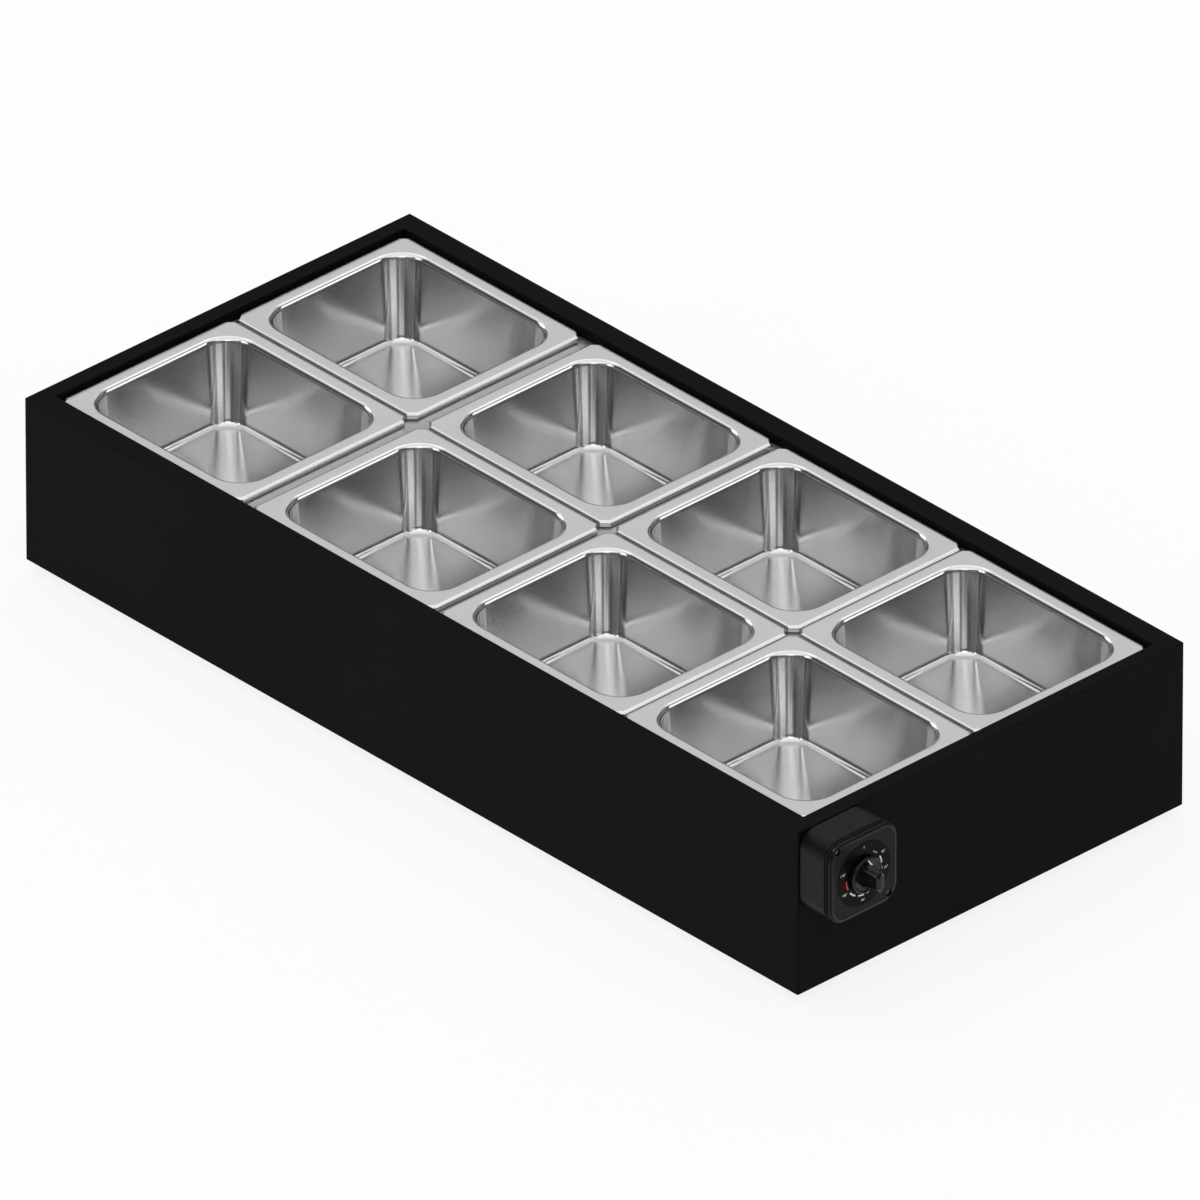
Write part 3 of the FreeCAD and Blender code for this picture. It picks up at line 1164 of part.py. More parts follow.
def build():
    make_casing_top()
    make_casing_walls()
    make_tank()
    make_row_bar()
    for column in range(3):
        make_cross_bar(f"cross_bar_front_{column + 1}", column, "-")
        make_cross_bar(f"cross_bar_back_{column + 1}", column, "")
    make_bar_brackets()
    row_place = "((pan_width + row_gap) / 2)"
    for column in range(4):
        make_pan(f"pan_front_{column + 1}", column_place(column), f"-{row_place}")
        make_pan(f"pan_back_{column + 1}", column_place(column), row_place)
    make_heater_tube()
    make_heater_ends()
    make_rests()
    make_bulb()
    make_bulb_clips()
    make_capillary()
    make_capillary_gland()
    make_thermostat()
    make_box_gasket()
    make_control_box()
    make_cover_gasket()
    make_cover()
    make_cover_screws()
    make_dial()
    make_spindle()
    make_knob()
    make_base_plate()
    make_feet()
    make_insulation()
    make_cord_gland()
    make_terminal_block()
    make_safety_cutout()


def write_parts():
    """Checks every object, then writes each sub-part under its label."""
    doc.recompute()
    for item in doc.Objects:
        if "Invalid" in item.State or "Error" in item.State:
            raise RuntimeError(f"{item.Name} failed: {item.State}")
    for part in PARTS:
        if part.Shape.isNull() or not part.Shape.isValid():
            raise RuntimeError(f"{part.Label} has no valid shape")
    for part in PARTS:
        part.Shape.exportStep(f"parts/{part.Label}.step")


build()
write_parts()
print(len(PARTS), "sub-parts written")
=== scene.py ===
"""Electric buffet warmer with eight lift-out pans: the finished surfaces, the pans, the
control with its dial and knob, and a plain studio round them."""
import json
import math

import bmesh
import bpy
from bpy.props import FloatProperty, FloatVectorProperty, PointerProperty
from mathutils import Matrix, Vector


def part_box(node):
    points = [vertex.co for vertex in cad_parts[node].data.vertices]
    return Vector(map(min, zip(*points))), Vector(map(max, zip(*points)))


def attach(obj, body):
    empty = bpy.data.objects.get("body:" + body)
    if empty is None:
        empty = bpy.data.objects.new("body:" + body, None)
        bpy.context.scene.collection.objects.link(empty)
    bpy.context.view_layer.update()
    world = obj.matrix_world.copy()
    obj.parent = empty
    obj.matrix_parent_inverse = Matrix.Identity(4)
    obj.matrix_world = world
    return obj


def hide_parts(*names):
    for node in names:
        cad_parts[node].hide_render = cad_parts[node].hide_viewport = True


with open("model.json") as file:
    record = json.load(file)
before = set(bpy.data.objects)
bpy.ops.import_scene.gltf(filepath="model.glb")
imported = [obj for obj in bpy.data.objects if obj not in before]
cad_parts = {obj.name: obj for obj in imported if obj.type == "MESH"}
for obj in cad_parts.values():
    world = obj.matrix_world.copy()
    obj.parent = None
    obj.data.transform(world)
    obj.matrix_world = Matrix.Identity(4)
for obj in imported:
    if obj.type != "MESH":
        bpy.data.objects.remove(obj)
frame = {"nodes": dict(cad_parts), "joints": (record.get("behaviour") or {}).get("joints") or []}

bl_info = {
    "name": "Buffet warmer",
    "version": (1, 0, 0),
    "blender": (4, 5, 0),
    "location": "3D View > Sidebar > Warmer",
    "description": "Builds the pans, the control and the finishes of a buffet warmer",
    "category": "Object",
}

MM = 0.001
FULL_TURN = 2 * math.pi
MERGE_DISTANCE = 0.002 * MM
PANS = [f"pan_{row}_{column}" for column in range(1, 5) for row in ("front", "back")]
FEET = [f"foot_{row}_{side}" for row in ("front", "back") for side in ("left", "right")]
KNOB_JOINT = next(joint for joint in frame["joints"] if joint["name"] == "knob_turn")
KNOB_AXIS = Vector(KNOB_JOINT["pos_m"])
# On the control's end of the housing a drawing's x runs along +Y, its y up and its z outwards.
CONTROL_TURN = Matrix(((0, 0, 1, 0), (1, 0, 0, 0), (0, 1, 0, 0), (0, 0, 0, 1)))
# Radii that two pieces share: the cover's and the dial's hole, and the cover screws' heads.
SPINDLE_HOLE = 4.8 * MM
SCREW_HEAD = 2.1 * MM


def length(label, about, value):
    """A size in metres that a user may change, given here in millimetres."""
    return FloatProperty(name=label, description=about, default=value * MM, unit="LENGTH")


def angle(label, about, degrees):
    """An angle that a user may change, given here in degrees."""
    return FloatProperty(name=label, description=about, default=math.radians(degrees),
                         subtype="ANGLE", unit="ROTATION")


def colour(label, about, value):
    """A colour that a user may change, as linear red, green and blue."""
    return FloatVectorProperty(name=label, description=about, default=value, size=3,
                               min=0.0, max=1.0, subtype="COLOR")


class PanSizes(bpy.types.PropertyGroup):
    flat: length("Flange flat", "Flat of the flange between its roll and the mouth", 9.0)
    mouth_roll: length("Mouth roll", "Radius from the flange into the wall", 3.5)
    corner: length("Wall corner", "Radius of the upright wall corner at the mouth", 22.0)
    taper: length("Wall taper", "How far each wall leans in towards the floor", 4.5)
    heel: length("Heel", "Radius from the wall into the floor", 5.0)
    cut: length("Flange corner", "Cut corner of the flange", 5.5)
    flange_roll: length("Flange roll", "Width over which the flange turns down", 2.6)
    flange_drop: length("Flange drop", "Height over which the flange turns down", 1.5)
    lip: length("Lip", "Height of the turned-down lip", 4.0)
    sheet: length("Sheet", "Thickness of the sheet", 0.8)


class ControlSizes(bpy.types.PropertyGroup):
    corner: length("Corner", "Corner radius of the control box and its cover", 13.0)
    neck: length("Cover neck", "How far the cover's back part is set in", 1.6)
    lip: length("Cover lip", "Thickness of the cover's front part", 2.4)
    edge: length("Cover edge", "Rounding of the cover's outer edge", 1.2)
    bead_inset: length("Bead inset", "Raised bead, set in from the cover's edge", 1.6)
    bead_width: length("Bead width", "Width of the raised bead", 1.2)
    bead_rise: length("Bead height", "Height of the raised bead", 0.4)
    seat: length("Dial seat", "Radius of the round seat for the dial", 23.7)
    seat_depth: length("Dial seat depth", "Depth of the round seat for the dial", 0.5)
    screw_sink: length("Screw sink", "Radius of the sunk screw holes", 2.3)
    mark_radius: length("Scale radius", "Radius of the row of dashes on the dial", 15.9)
    number_radius: length("Number radius", "Radius of the row of numbers on the dial", 19.9)
    number_height: length("Number height", "Height of the numbers on the dial", 2.5)


class Finishes(bpy.types.PropertyGroup):
    housing: colour("Housing", "Black powder coat", (0.0034, 0.0034, 0.0036))
    steel: colour("Pan steel", "Satin stainless steel of the pans", (0.61, 0.61, 0.61))
    tank: colour("Tank steel", "Duller stainless steel of the tank", (0.62, 0.62, 0.61))
    moulding: colour("Control moulding", "Fine matte black plastic", (0.0036, 0.0036, 0.0038))
    dial: colour("Dial", "Brown-black dial plate", (0.0036, 0.0028, 0.0018))
    knob: colour("Knob", "Gloss black knob", (0.0050, 0.0050, 0.0055))
    print_white: colour("White print", "Numbers and dashes", (0.78, 0.78, 0.76))
    print_grey: colour("Grey print", "Dash of the lowest setting", (0.22, 0.22, 0.21))
    print_red: colour("Red print", "Dash of the hottest setting", (0.62, 0.025, 0.020))


class Studio(bpy.types.PropertyGroup):
    azimuth: angle("Camera azimuth", "Turn of the camera round the warmer", 46.96)
    elevation: angle("Camera elevation", "Height of the camera above the horizon", 31.53)
    distance: length("Camera distance", "From the aim to the camera", 30000.0)
    focus: FloatProperty(name="Focal length", description="Focal length in millimetres",
                         default=1362.8)
    sensor: FloatProperty(name="Sensor", description="Sensor width in millimetres", default=36.0)
    aim: FloatVectorProperty(name="Aim", default=(-0.02491, -0.00754, 0.06994), unit="LENGTH",
                             description="Point on the warmer near the picture's middle")
    floor: length("Floor", "Half width of the floor", 60000.0)


# Mesh helpers

def round_loop(bm, half_x, half_y, corner, level, steps, cut=False):
    """Flat face in the outline of a rectangle with round corners, or with cut ones."""
    before = set(bm.faces)
    corners = bmesh.ops.create_grid(bm, x_segments=1, y_segments=1, size=1.0)["verts"]
    bmesh.ops.scale(bm, vec=(half_x, half_y, 1.0), verts=corners)
    bmesh.ops.translate(bm, vec=(0.0, 0.0, level), verts=corners)
    bmesh.ops.bevel(bm, geom=corners, offset=corner, offset_type="OFFSET", segments=steps,
                    profile=0.25 if cut else 0.5, affect="VERTICES", material=-1)
    return (set(bm.faces) - before).pop()


def round_disc(bm, radius, level, steps):
    """Flat round face."""
    before = set(bm.faces)
    rim = bmesh.ops.create_circle(bm, cap_ends=True, segments=steps, radius=radius)["verts"]
    bmesh.ops.translate(bm, vec=(0.0, 0.0, level), verts=rim)
    return (set(bm.faces) - before).pop()


def bridge(bm, faces, keep_first=False, keep_last=False):
    """Walls from each flat face's outline to the next one's. Faces in between are taken out."""
    outlines = [list(face.edges) for face in faces]
    gone = faces[int(keep_first):len(faces) - int(keep_last)]
    bmesh.ops.delete(bm, geom=gone, context="FACES_ONLY")
    for outer, inner in zip(outlines, outlines[1:]):
        bmesh.ops.bridge_loops(bm, edges=outer + inner)


def arc(centre, radius, start, stop, steps):
    """Points of an arc in a drawing of a cross-section, angles in degrees."""
    turns = [math.radians(start + (stop - start) * step / steps) for step in range(steps + 1)]
    return [(centre[0] + radius * math.cos(turn), centre[1] + radius * math.sin(turn))
            for turn in turns]


def lathe(bm, profile, steps):
    """Round shape about z from its profile, a list of (radius, height), with so many steps round
    it."""
    points = [bm.verts.new((radius, 0.0, height)) for radius, height in profile]
    lines = [bm.edges.new(pair) for pair in zip(points, points[1:])]
    bmesh.ops.spin(bm, geom=points + lines, cent=(0.0, 0.0, 0.0), axis=(0.0, 0.0, 1.0),
                   dvec=(0.0, 0.0, 0.0), angle=FULL_TURN, steps=steps, use_merge=True)


def clean(bm, up=None):
    """Merged doubles and faces that point outwards, or upwards at the point that is given."""
    bmesh.ops.remove_doubles(bm, verts=bm.verts, dist=MERGE_DISTANCE)
    bmesh.ops.recalc_face_normals(bm, faces=bm.faces)
    if up and up.normal.z < 0.0:
        bmesh.ops.reverse_faces(bm, faces=bm.faces)


def soften(bm, size, sharper_than=30.0, steps=3):
    """Small rounding on every edge that is sharper than an angle in degrees."""
    limit = math.radians(sharper_than)
    edges = [edge for edge in bm.edges if edge.is_manifold and edge.calc_face_angle() > limit]
    bmesh.ops.bevel(bm, geom=edges, offset=size, offset_type="OFFSET", segments=steps, profile=0.5,
                    affect="EDGES", clamp_overlap=True, material=-1)


def join(bm, other):
    """Adds another mesh to this one and frees the other."""
    holder = bpy.data.meshes.new("holder")
    other.to_mesh(holder)
    other.free()
    bm.from_mesh(holder)
    bpy.data.meshes.remove(holder)


def scratch(bm):
    """Object for a moment's work, from a mesh that it takes over."""
    mesh = bpy.data.meshes.new("scratch")
    bm.to_mesh(mesh)
    bm.free()
    thing = bpy.data.objects.new("scratch", mesh)
    bpy.context.scene.collection.objects.link(thing)
    return thing


def carve(bm, cutter):
    """The shape without what the cutter covers."""
    shape, tool = scratch(bm), scratch(cutter)
    cut = shape.modifiers.new("cut", "BOOLEAN")
    cut.operation, cut.solver, cut.object = "DIFFERENCE", "EXACT", tool
    bpy.context.view_layer.update()
    graph = bpy.context.evaluated_depsgraph_get()
    result = bpy.data.meshes.new_from_object(shape.evaluated_get(graph))
    carved = bmesh.new()
    carved.from_mesh(result)
    for thing in (shape, tool):
        mesh = thing.data
        bpy.data.objects.remove(thing)
        bpy.data.meshes.remove(mesh)
    bpy.data.meshes.remove(result)
    return carved


def piece(name, bm, finish, body, nodes=(), place=None, sharp=35.0):
    """Finished piece of the warmer from its mesh, riding on a body."""
    if place is not None:
        bm.transform(place)
    mesh = bpy.data.meshes.new(name)
    bm.to_mesh(mesh)
    bm.free()
    mesh.polygons.foreach_set("use_smooth", [True] * len(mesh.polygons))
    mesh.set_sharp_from_angle(angle=math.radians(sharp))
    mesh.materials.append(bpy.data.materials[finish])
    thing = bpy.data.objects.new(name, mesh)
    bpy.context.scene.collection.objects.link(thing)
    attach(thing, body)
    if nodes:
        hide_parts(*nodes)
    return thing


def on_control(outwards):
    """Place of a drawing that is centred on the knob's axis, its z starting at a given X."""
    return Matrix.Translation((outwards, KNOB_AXIS.y, KNOB_AXIS.z)) @ CONTROL_TURN


def polar(radius, degrees):
    """Point on the dial, clockwise from the top as seen from outside."""
    turn = math.radians(degrees)
    return Vector((radius * math.sin(turn), radius * math.cos(turn), 0.0))


# Materials

# Range that the sum of two noises covers, for the most part.
NOISE_LOW, NOISE_HIGH = 0.6, 1.4
# The normal's z at which a face begins to count as level, and from which it fully does.
LEVEL_FROM, LEVEL_FULL = 0.90, 0.99
# The slow waves in the sheet run longer upwards than across.
WAVE_STRETCH = (1.0, 1.0, 0.35)
# Direction of the polish: upright, and leaning a little so that level faces have one as well.
POLISH = {"X": 0.05, "Y": 0.0, "Z": 1.0}


def node_group(name, inputs, outputs):
    """New group of shader nodes with its sockets, and its input and output nodes."""
    group = bpy.data.node_groups.new(name, "ShaderNodeTree")
    for label, kind, value in inputs:
        group.interface.new_socket(label, in_out="INPUT", socket_type=kind).default_value = value
    for label, kind in outputs:
        group.interface.new_socket(label, in_out="OUTPUT", socket_type=kind)
    return group, group.nodes.new("NodeGroupInput"), group.nodes.new("NodeGroupOutput")


def add(tree, kind, settings=None, **inputs):
    """Node with its settings, and with each input set to a value or linked to a socket."""
    node = tree.nodes.new(kind)
    for key, value in (settings or {}).items():
        setattr(node, key, value)
    for key, value in inputs.items():
        socket = node.inputs[int(key[1:])] if key[0] == "i" and key[1:].isdigit() \
            else node.inputs[key.replace("_", " ")]
        if isinstance(value, bpy.types.NodeSocket):
            tree.links.new(value, socket)
        else:
            socket.default_value = value
    return node


def make_uneven_surface():
    """Node group shared by every finish: soft clouds in colour and roughness, a fine grain that
    may be stretched along one direction, slow waves, and level faces that may be duller."""
    group, given, out = node_group("uneven_surface", (
        ("Color", "NodeSocketColor", (0.5, 0.5, 0.5, 1.0)),
        ("Cloud Scale", "NodeSocketFloat", 20.0),
        ("Cloud Depth", "NodeSocketFloat", 0.1),
        ("Stretch", "NodeSocketVector", (1.0, 1.0, 1.0)),
        ("Grain Scale", "NodeSocketFloat", 500.0),
        ("Grain Height", "NodeSocketFloat", 0.00002),
        ("Smoothest", "NodeSocketFloat", 0.3),
        ("Roughest", "NodeSocketFloat", 0.5),
        ("Dull Flats", "NodeSocketFloat", 0.0),
        ("Wave Scale", "NodeSocketFloat", 20.0),
        ("Wave Height", "NodeSocketFloat", 0.0),
    ), (
        ("Color", "NodeSocketColor"),
        ("Roughness", "NodeSocketFloat"),
        ("Normal", "NodeSocketVector"),
    ))
    place = add(group, "ShaderNodeTexCoord").outputs["Object"]
    clouds = add(group, "ShaderNodeTexNoise", Vector=place, Scale=given.outputs["Cloud Scale"],
                 Detail=4.0, Roughness=0.55).outputs["Fac"]
    stretched = add(group, "ShaderNodeVectorMath", {"operation": "MULTIPLY"},
                    i0=place, i1=given.outputs["Stretch"]).outputs["Vector"]
    grain = add(group, "ShaderNodeTexNoise", Vector=stretched, Scale=given.outputs["Grain Scale"],
                Detail=2.0, Roughness=0.6).outputs["Fac"]
    both = add(group, "ShaderNodeMath", {"operation": "ADD"}, i0=clouds, i1=grain).outputs[0]
    low = add(group, "ShaderNodeMath", {"operation": "SUBTRACT"}, i0=1.0,
              i1=given.outputs["Cloud Depth"]).outputs[0]
    high = add(group, "ShaderNodeMath", {"operation": "ADD"}, i0=1.0,
               i1=given.outputs["Cloud Depth"]).outputs[0]
    spread = {"Value": both, "From_Min": NOISE_LOW, "From_Max": NOISE_HIGH}
    shade = add(group, "ShaderNodeMapRange", **spread, To_Min=low, To_Max=high).outputs["Result"]
    tinted = add(group, "ShaderNodeVectorMath", {"operation": "SCALE"}, i0=given.outputs["Color"],
                 Scale=shade).outputs["Vector"]
    rough = add(group, "ShaderNodeMapRange", **spread, To_Min=given.outputs["Smoothest"],
                To_Max=given.outputs["Roughest"]).outputs["Result"]
    upwards = add(group, "ShaderNodeSeparateXYZ",
                  Vector=add(group, "ShaderNodeTexCoord").outputs["Normal"]).outputs["Z"]
    duller = add(group, "ShaderNodeMapRange", {"interpolation_type": "SMOOTHSTEP"}, Value=upwards,
                 From_Min=LEVEL_FROM, From_Max=LEVEL_FULL, To_Min=0.0,
                 To_Max=given.outputs["Dull Flats"]).outputs["Result"]
    rough = add(group, "ShaderNodeMath", {"operation": "ADD"}, i0=rough, i1=duller).outputs[0]
    bump = add(group, "ShaderNodeBump", Height=grain, Distance=given.outputs["Grain Height"],
               Strength=1.0).outputs["Normal"]
    drawn = add(group, "ShaderNodeVectorMath", {"operation": "MULTIPLY"}, i0=place,
                i1=WAVE_STRETCH).outputs["Vector"]
    waves = add(group, "ShaderNodeTexNoise", Vector=drawn, Scale=given.outputs["Wave Scale"],
                Detail=1.0, Roughness=0.4).outputs["Fac"]
    bump = add(group, "ShaderNodeBump", Height=waves, Distance=given.outputs["Wave Height"],
               Strength=1.0, Normal=bump).outputs["Normal"]
    group.links.new(tinted, out.inputs["Color"])
    group.links.new(rough, out.inputs["Roughness"])
    group.links.new(bump, out.inputs["Normal"])


def finish(name, tint, metal=0.0, clouds=(20.0, 0.1), stretch=(1.0, 1.0, 1.0), grain=(600.0, 0.01),
           rough=(0.3, 0.5), level=0.5, dull=0.0, waves=(20.0, 0.0), **constants):
    """Material from the shared surface group. Clouds are (scale, depth), the grain is
    (scale, height in millimetres), level is the shader's specular level, dull is how much
    rougher the faces are that look straight up, and waves are (scale, height in millimetres)
    of the slow unevenness that drawing leaves in the sheet. Any other constant goes to the
    shader's socket of that name."""
    material = bpy.data.materials.new(name)
    material.use_nodes = True
    tree = material.node_tree
    tree.nodes.clear()
    shader = add(tree, "ShaderNodeBsdfPrincipled")
    uneven = add(tree, "ShaderNodeGroup", {"node_tree": bpy.data.node_groups["uneven_surface"]},
                 Color=(*tint, 1.0), Cloud_Scale=clouds[0], Cloud_Depth=clouds[1], Stretch=stretch,
                 Grain_Scale=grain[0], Grain_Height=grain[1] * MM, Smoothest=rough[0],
                 Roughest=rough[1], Dull_Flats=dull, Wave_Scale=waves[0], Wave_Height=waves[1] * MM)
    for source, target in (("Color", "Base Color"), ("Roughness", "Roughness"),
                           ("Normal", "Normal")):
        tree.links.new(uneven.outputs[source], shader.inputs[target])
    shader.inputs["Metallic"].default_value = metal
    shader.inputs["Specular IOR Level"].default_value = level
    for key, value in constants.items():
        shader.inputs[key.replace("_", " ")].default_value = value
    if constants.get("Anisotropic"):
        polish = add(tree, "ShaderNodeCombineXYZ", **POLISH).outputs["Vector"]
        tree.links.new(polish, shader.inputs["Tangent"])
    add(tree, "ShaderNodeOutputMaterial", Surface=shader.outputs["BSDF"])


class BUFFET_OT_finishes(bpy.types.Operator):
    """Makes every finish and puts one on each piece that comes with the frame"""
    bl_idname = "buffet.finishes"
    bl_label = "Finishes"

    def execute(self, context):
        tints = context.scene.warmer_finishes
        make_uneven_surface()
        finish("powder_coat", tints.housing, clouds=(9.0, 0.16), grain=(1500.0, 0.012),
               rough=(0.52, 0.68), level=0.045)
        finish("satin_steel", tints.steel, metal=1.0, clouds=(28.0, 0.04), stretch=(1.0, 1.0, 0.12),
               grain=(900.0, 0.0002), rough=(0.10, 0.125), dull=0.05, waves=(36.0, 0.12),
               Anisotropic=1.0)
        finish("dull_steel", tints.tank, metal=1.0, clouds=(22.0, 0.06), stretch=(0.1, 1.0, 1.0),
               grain=(700.0, 0.001), rough=(0.30, 0.42))
        # Bar steel, darker than the pans' steel: painted shade that stands in for the shade in the
        # gaps between the pans.
        finish("drawn_steel_shaded", (0.40, 0.40, 0.40), metal=1.0, clouds=(35.0, 0.05),
               stretch=(0.15, 0.15, 1.0), grain=(800.0, 0.0004), rough=(0.2, 0.3))
        finish("spangled_zinc", (0.45, 0.46, 0.47), metal=1.0, clouds=(60.0, 0.22),
               grain=(240.0, 0.002), rough=(0.32, 0.55))
        finish("plated_screw", (0.55, 0.55, 0.54), metal=1.0, clouds=(200.0, 0.1),
               grain=(2400.0, 0.002), rough=(0.22, 0.38))
        finish("heat_tinted_steel", (0.20, 0.17, 0.15), metal=1.0, clouds=(40.0, 0.4),
               stretch=(0.3, 1.0, 1.0), grain=(1200.0, 0.004), rough=(0.35, 0.6))
        finish("black_rubber", (0.012, 0.012, 0.012), clouds=(60.0, 0.25), grain=(1800.0, 0.02),
               rough=(0.7, 0.9), level=0.25)
        finish("control_plastic", tints.moulding, clouds=(30.0, 0.08), grain=(2600.0, 0.006),
               rough=(0.36, 0.46), level=0.12)
        finish("bead_gloss", tints.moulding, clouds=(30.0, 0.08), grain=(2600.0, 0.003),
               rough=(0.14, 0.2), level=0.3)
        finish("gland_plastic", (0.013, 0.013, 0.014), clouds=(60.0, 0.1), grain=(2200.0, 0.005),
               rough=(0.4, 0.55), level=0.3)
        finish("pale_moulding", (0.55, 0.52, 0.44), clouds=(50.0, 0.08), grain=(1500.0, 0.008),
               rough=(0.45, 0.6), level=0.4)
        finish("dial_face", tints.dial, clouds=(120.0, 0.15), grain=(3000.0, 0.002),
               rough=(0.22, 0.34), level=0.05)
        finish("knob_gloss", tints.knob, clouds=(80.0, 0.1), grain=(900.0, 0.001),
               rough=(0.05, 0.10), level=0.28)
        for ink in ("print_white", "print_grey", "print_red"):
            finish(ink, getattr(tints, ink), clouds=(600.0, 0.08), grain=(4000.0, 0.002),
                   rough=(0.45, 0.6))
        finish("turned_brass", (0.62, 0.45, 0.18), metal=1.0, clouds=(90.0, 0.12),
               stretch=(8.0, 1.0, 1.0), grain=(500.0, 0.003), rough=(0.24, 0.4))
        finish("drawn_copper", (0.72, 0.38, 0.24), metal=1.0, clouds=(60.0, 0.18),
               grain=(900.0, 0.002), rough=(0.3, 0.45))
        finish("white_ceramic", (0.78, 0.76, 0.70), clouds=(150.0, 0.06), grain=(1800.0, 0.004),
               rough=(0.2, 0.35))
        finish("pressed_board", (0.60, 0.57, 0.48), clouds=(45.0, 0.2), stretch=(0.25, 1.0, 1.6),
               grain=(700.0, 0.25), rough=(0.85, 1.0), level=0.2)
        wear = {
            "housing": "powder_coat", "pan_steel": "satin_steel", "tank_steel": "dull_steel",
            "bar_steel": "drawn_steel_shaded", "zinc_sheet": "spangled_zinc", "screws": "plated_screw",
            "element": "heat_tinted_steel", "rubber": "black_rubber",
            "control_moulding": "control_plastic", "gland_moulding": "gland_plastic",
            "moulding_inside": "pale_moulding", "dial": "dial_face", "knob": "knob_gloss",
            "brass_fittings": "turned_brass", "copper": "drawn_copper",
            "insulator": "white_ceramic", "mineral_board": "pressed_board"}
        for node in frame["nodes"].values():
            for place in node.material_slots:
                place.material = bpy.data.materials[wear[place.material.name]]
        return {"FINISHED"}


class BUFFET_OT_pans(bpy.types.Operator):
    """Eight deep-drawn pans with a turned-down lip, a rolled mouth and a rounded heel"""
    bl_idname = "buffet.pans"
    bl_label = "Pans"

    def execute(self, context):
        size = context.scene.warmer_pans
        shrink = 2.0 - math.sqrt(2.0)  # loss of a cut corner per inset
        steps, roll_steps, bend_steps = 18, 8, 7
        wall_side = 184.0  # degrees at which the heel's arc meets the leaning wall
        for name in PANS:
            low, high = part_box(name)
            middle = (low + high) / 2
            half_x, half_y = (high.x - low.x) / 2, (high.y - low.y) / 2
            depth = high.z - low.z - size.sheet
            bm = bmesh.new()
            rolls = [(0.0, -size.lip)] + [
                ((1.0 + x) * size.flange_roll, (z - 1.0) * size.flange_drop)
                for x, z in arc((0.0, 0.0), 1.0, 180.0, 90.0, roll_steps)]
            loops = [round_loop(bm, half_x - inset, half_y - inset, size.cut - shrink * inset,
                                level, steps, cut=True) for inset, level in rolls]
            reach = size.flat + size.mouth_roll
            mouth = arc((size.flat, -size.mouth_roll), size.mouth_roll, 90.0, 0.0, bend_steps)
            lean = size.taper / depth
            foot = reach + size.taper
            heel = arc((foot + size.heel, size.heel - depth), size.heel, wall_side, 270.0,
                       bend_steps)
            walls = [(inset + lean * -level, level) for inset, level in mouth] + heel
            for inset, level in walls:
                corner = size.corner + reach - inset
                loops.append(round_loop(bm, half_x - inset, half_y - inset, corner, level, steps))
            bridge(bm, loops, keep_last=True)
            floor = loops[-1]
            clean(bm, up=floor)
            place = Matrix.Translation((middle.x, middle.y, high.z))
            pan = piece(f"{name}_drawn", bm, "satin_steel", name, (name,), place, 60.0)
            wall = pan.modifiers.new("sheet", "SOLIDIFY")
            wall.thickness, wall.offset = size.sheet, -1.0
            pan.modifiers.new("flats", "WEIGHTED_NORMAL")
        return {"FINISHED"}


class BUFFET_OT_control_cover(bpy.types.Operator):
    """Moulded cover of the control, with a raised bead and two sunk screw holes"""
    bl_idname = "buffet.control_cover"
    bl_label = "Control cover"

    def execute(self, context):
        size = context.scene.warmer_control
        low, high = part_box("control_cover")
        half_y, half_z = (high.y - low.y) / 2, (high.z - low.z) / 2
        front = high.x - low.x - size.bead_rise
        steps = 14
        neck, lip = size.neck, front - size.lip
        blunt = 0.3 * MM
        outline = [(neck + blunt, 0.0), (neck, blunt), (neck, lip - blunt), (blunt, lip),
                   (0.0, lip + blunt)]
        outline += arc((size.edge, front - size.edge), size.edge, 180.0, 90.0, 5)
        middle = size.bead_inset + size.bead_width / 2
        outline += [(middle + x * size.bead_width / 2, front + z * size.bead_rise)
                    for x, z in arc((0.0, 0.0), 1.0, 178.0, 0.0, 8)]
        bm = bmesh.new()
        loops = [round_loop(bm, half_y - inset, half_z - inset, size.corner - inset, level, steps)
                 for inset, level in outline]
        bridge(bm, loops, keep_first=True, keep_last=True)
        clean(bm)
        cutter = bmesh.new()
        floor = front - size.seat_depth
        lathe(cutter, [(0.0, -front), (SPINDLE_HOLE, -front), (SPINDLE_HOLE, floor),
                       (size.seat, floor), (size.seat, 2 * front), (0.0, 2 * front)], 128)
        radius, flare = size.screw_sink, 0.35 * MM
        head_back = front - 3.3 * MM
        sink_profile = [(0.0, head_back), (radius, head_back), (radius, front - flare),
                        (radius + flare, front), (radius + flare, 2 * front), (0.0, 2 * front)]
        screw_low, screw_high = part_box("cover_screws")
        for y, z in ((screw_low.y, screw_high.z), (screw_high.y, screw_low.z)):
            at = Vector((y + math.copysign(SCREW_HEAD, KNOB_AXIS.y - y) - KNOB_AXIS.y,
                         z + math.copysign(SCREW_HEAD, KNOB_AXIS.z - z) - KNOB_AXIS.z, 0.0))
            sink = bmesh.new()
            lathe(sink, sink_profile, 40)
            sink.transform(Matrix.Translation(at))
            join(cutter, sink)
        clean(cutter)
        bm = carve(bm, cutter)
        above_front = front + 0.02 * MM
        for face in bm.faces:
            face.material_index = int(face.calc_center_median().z > above_front)
        cover = piece("control_cover_moulded", bm, "control_plastic", "housing",
                      ("control_cover",), on_control(low.x))
        cover.data.materials.append(bpy.data.materials["bead_gloss"])
        return {"FINISHED"}


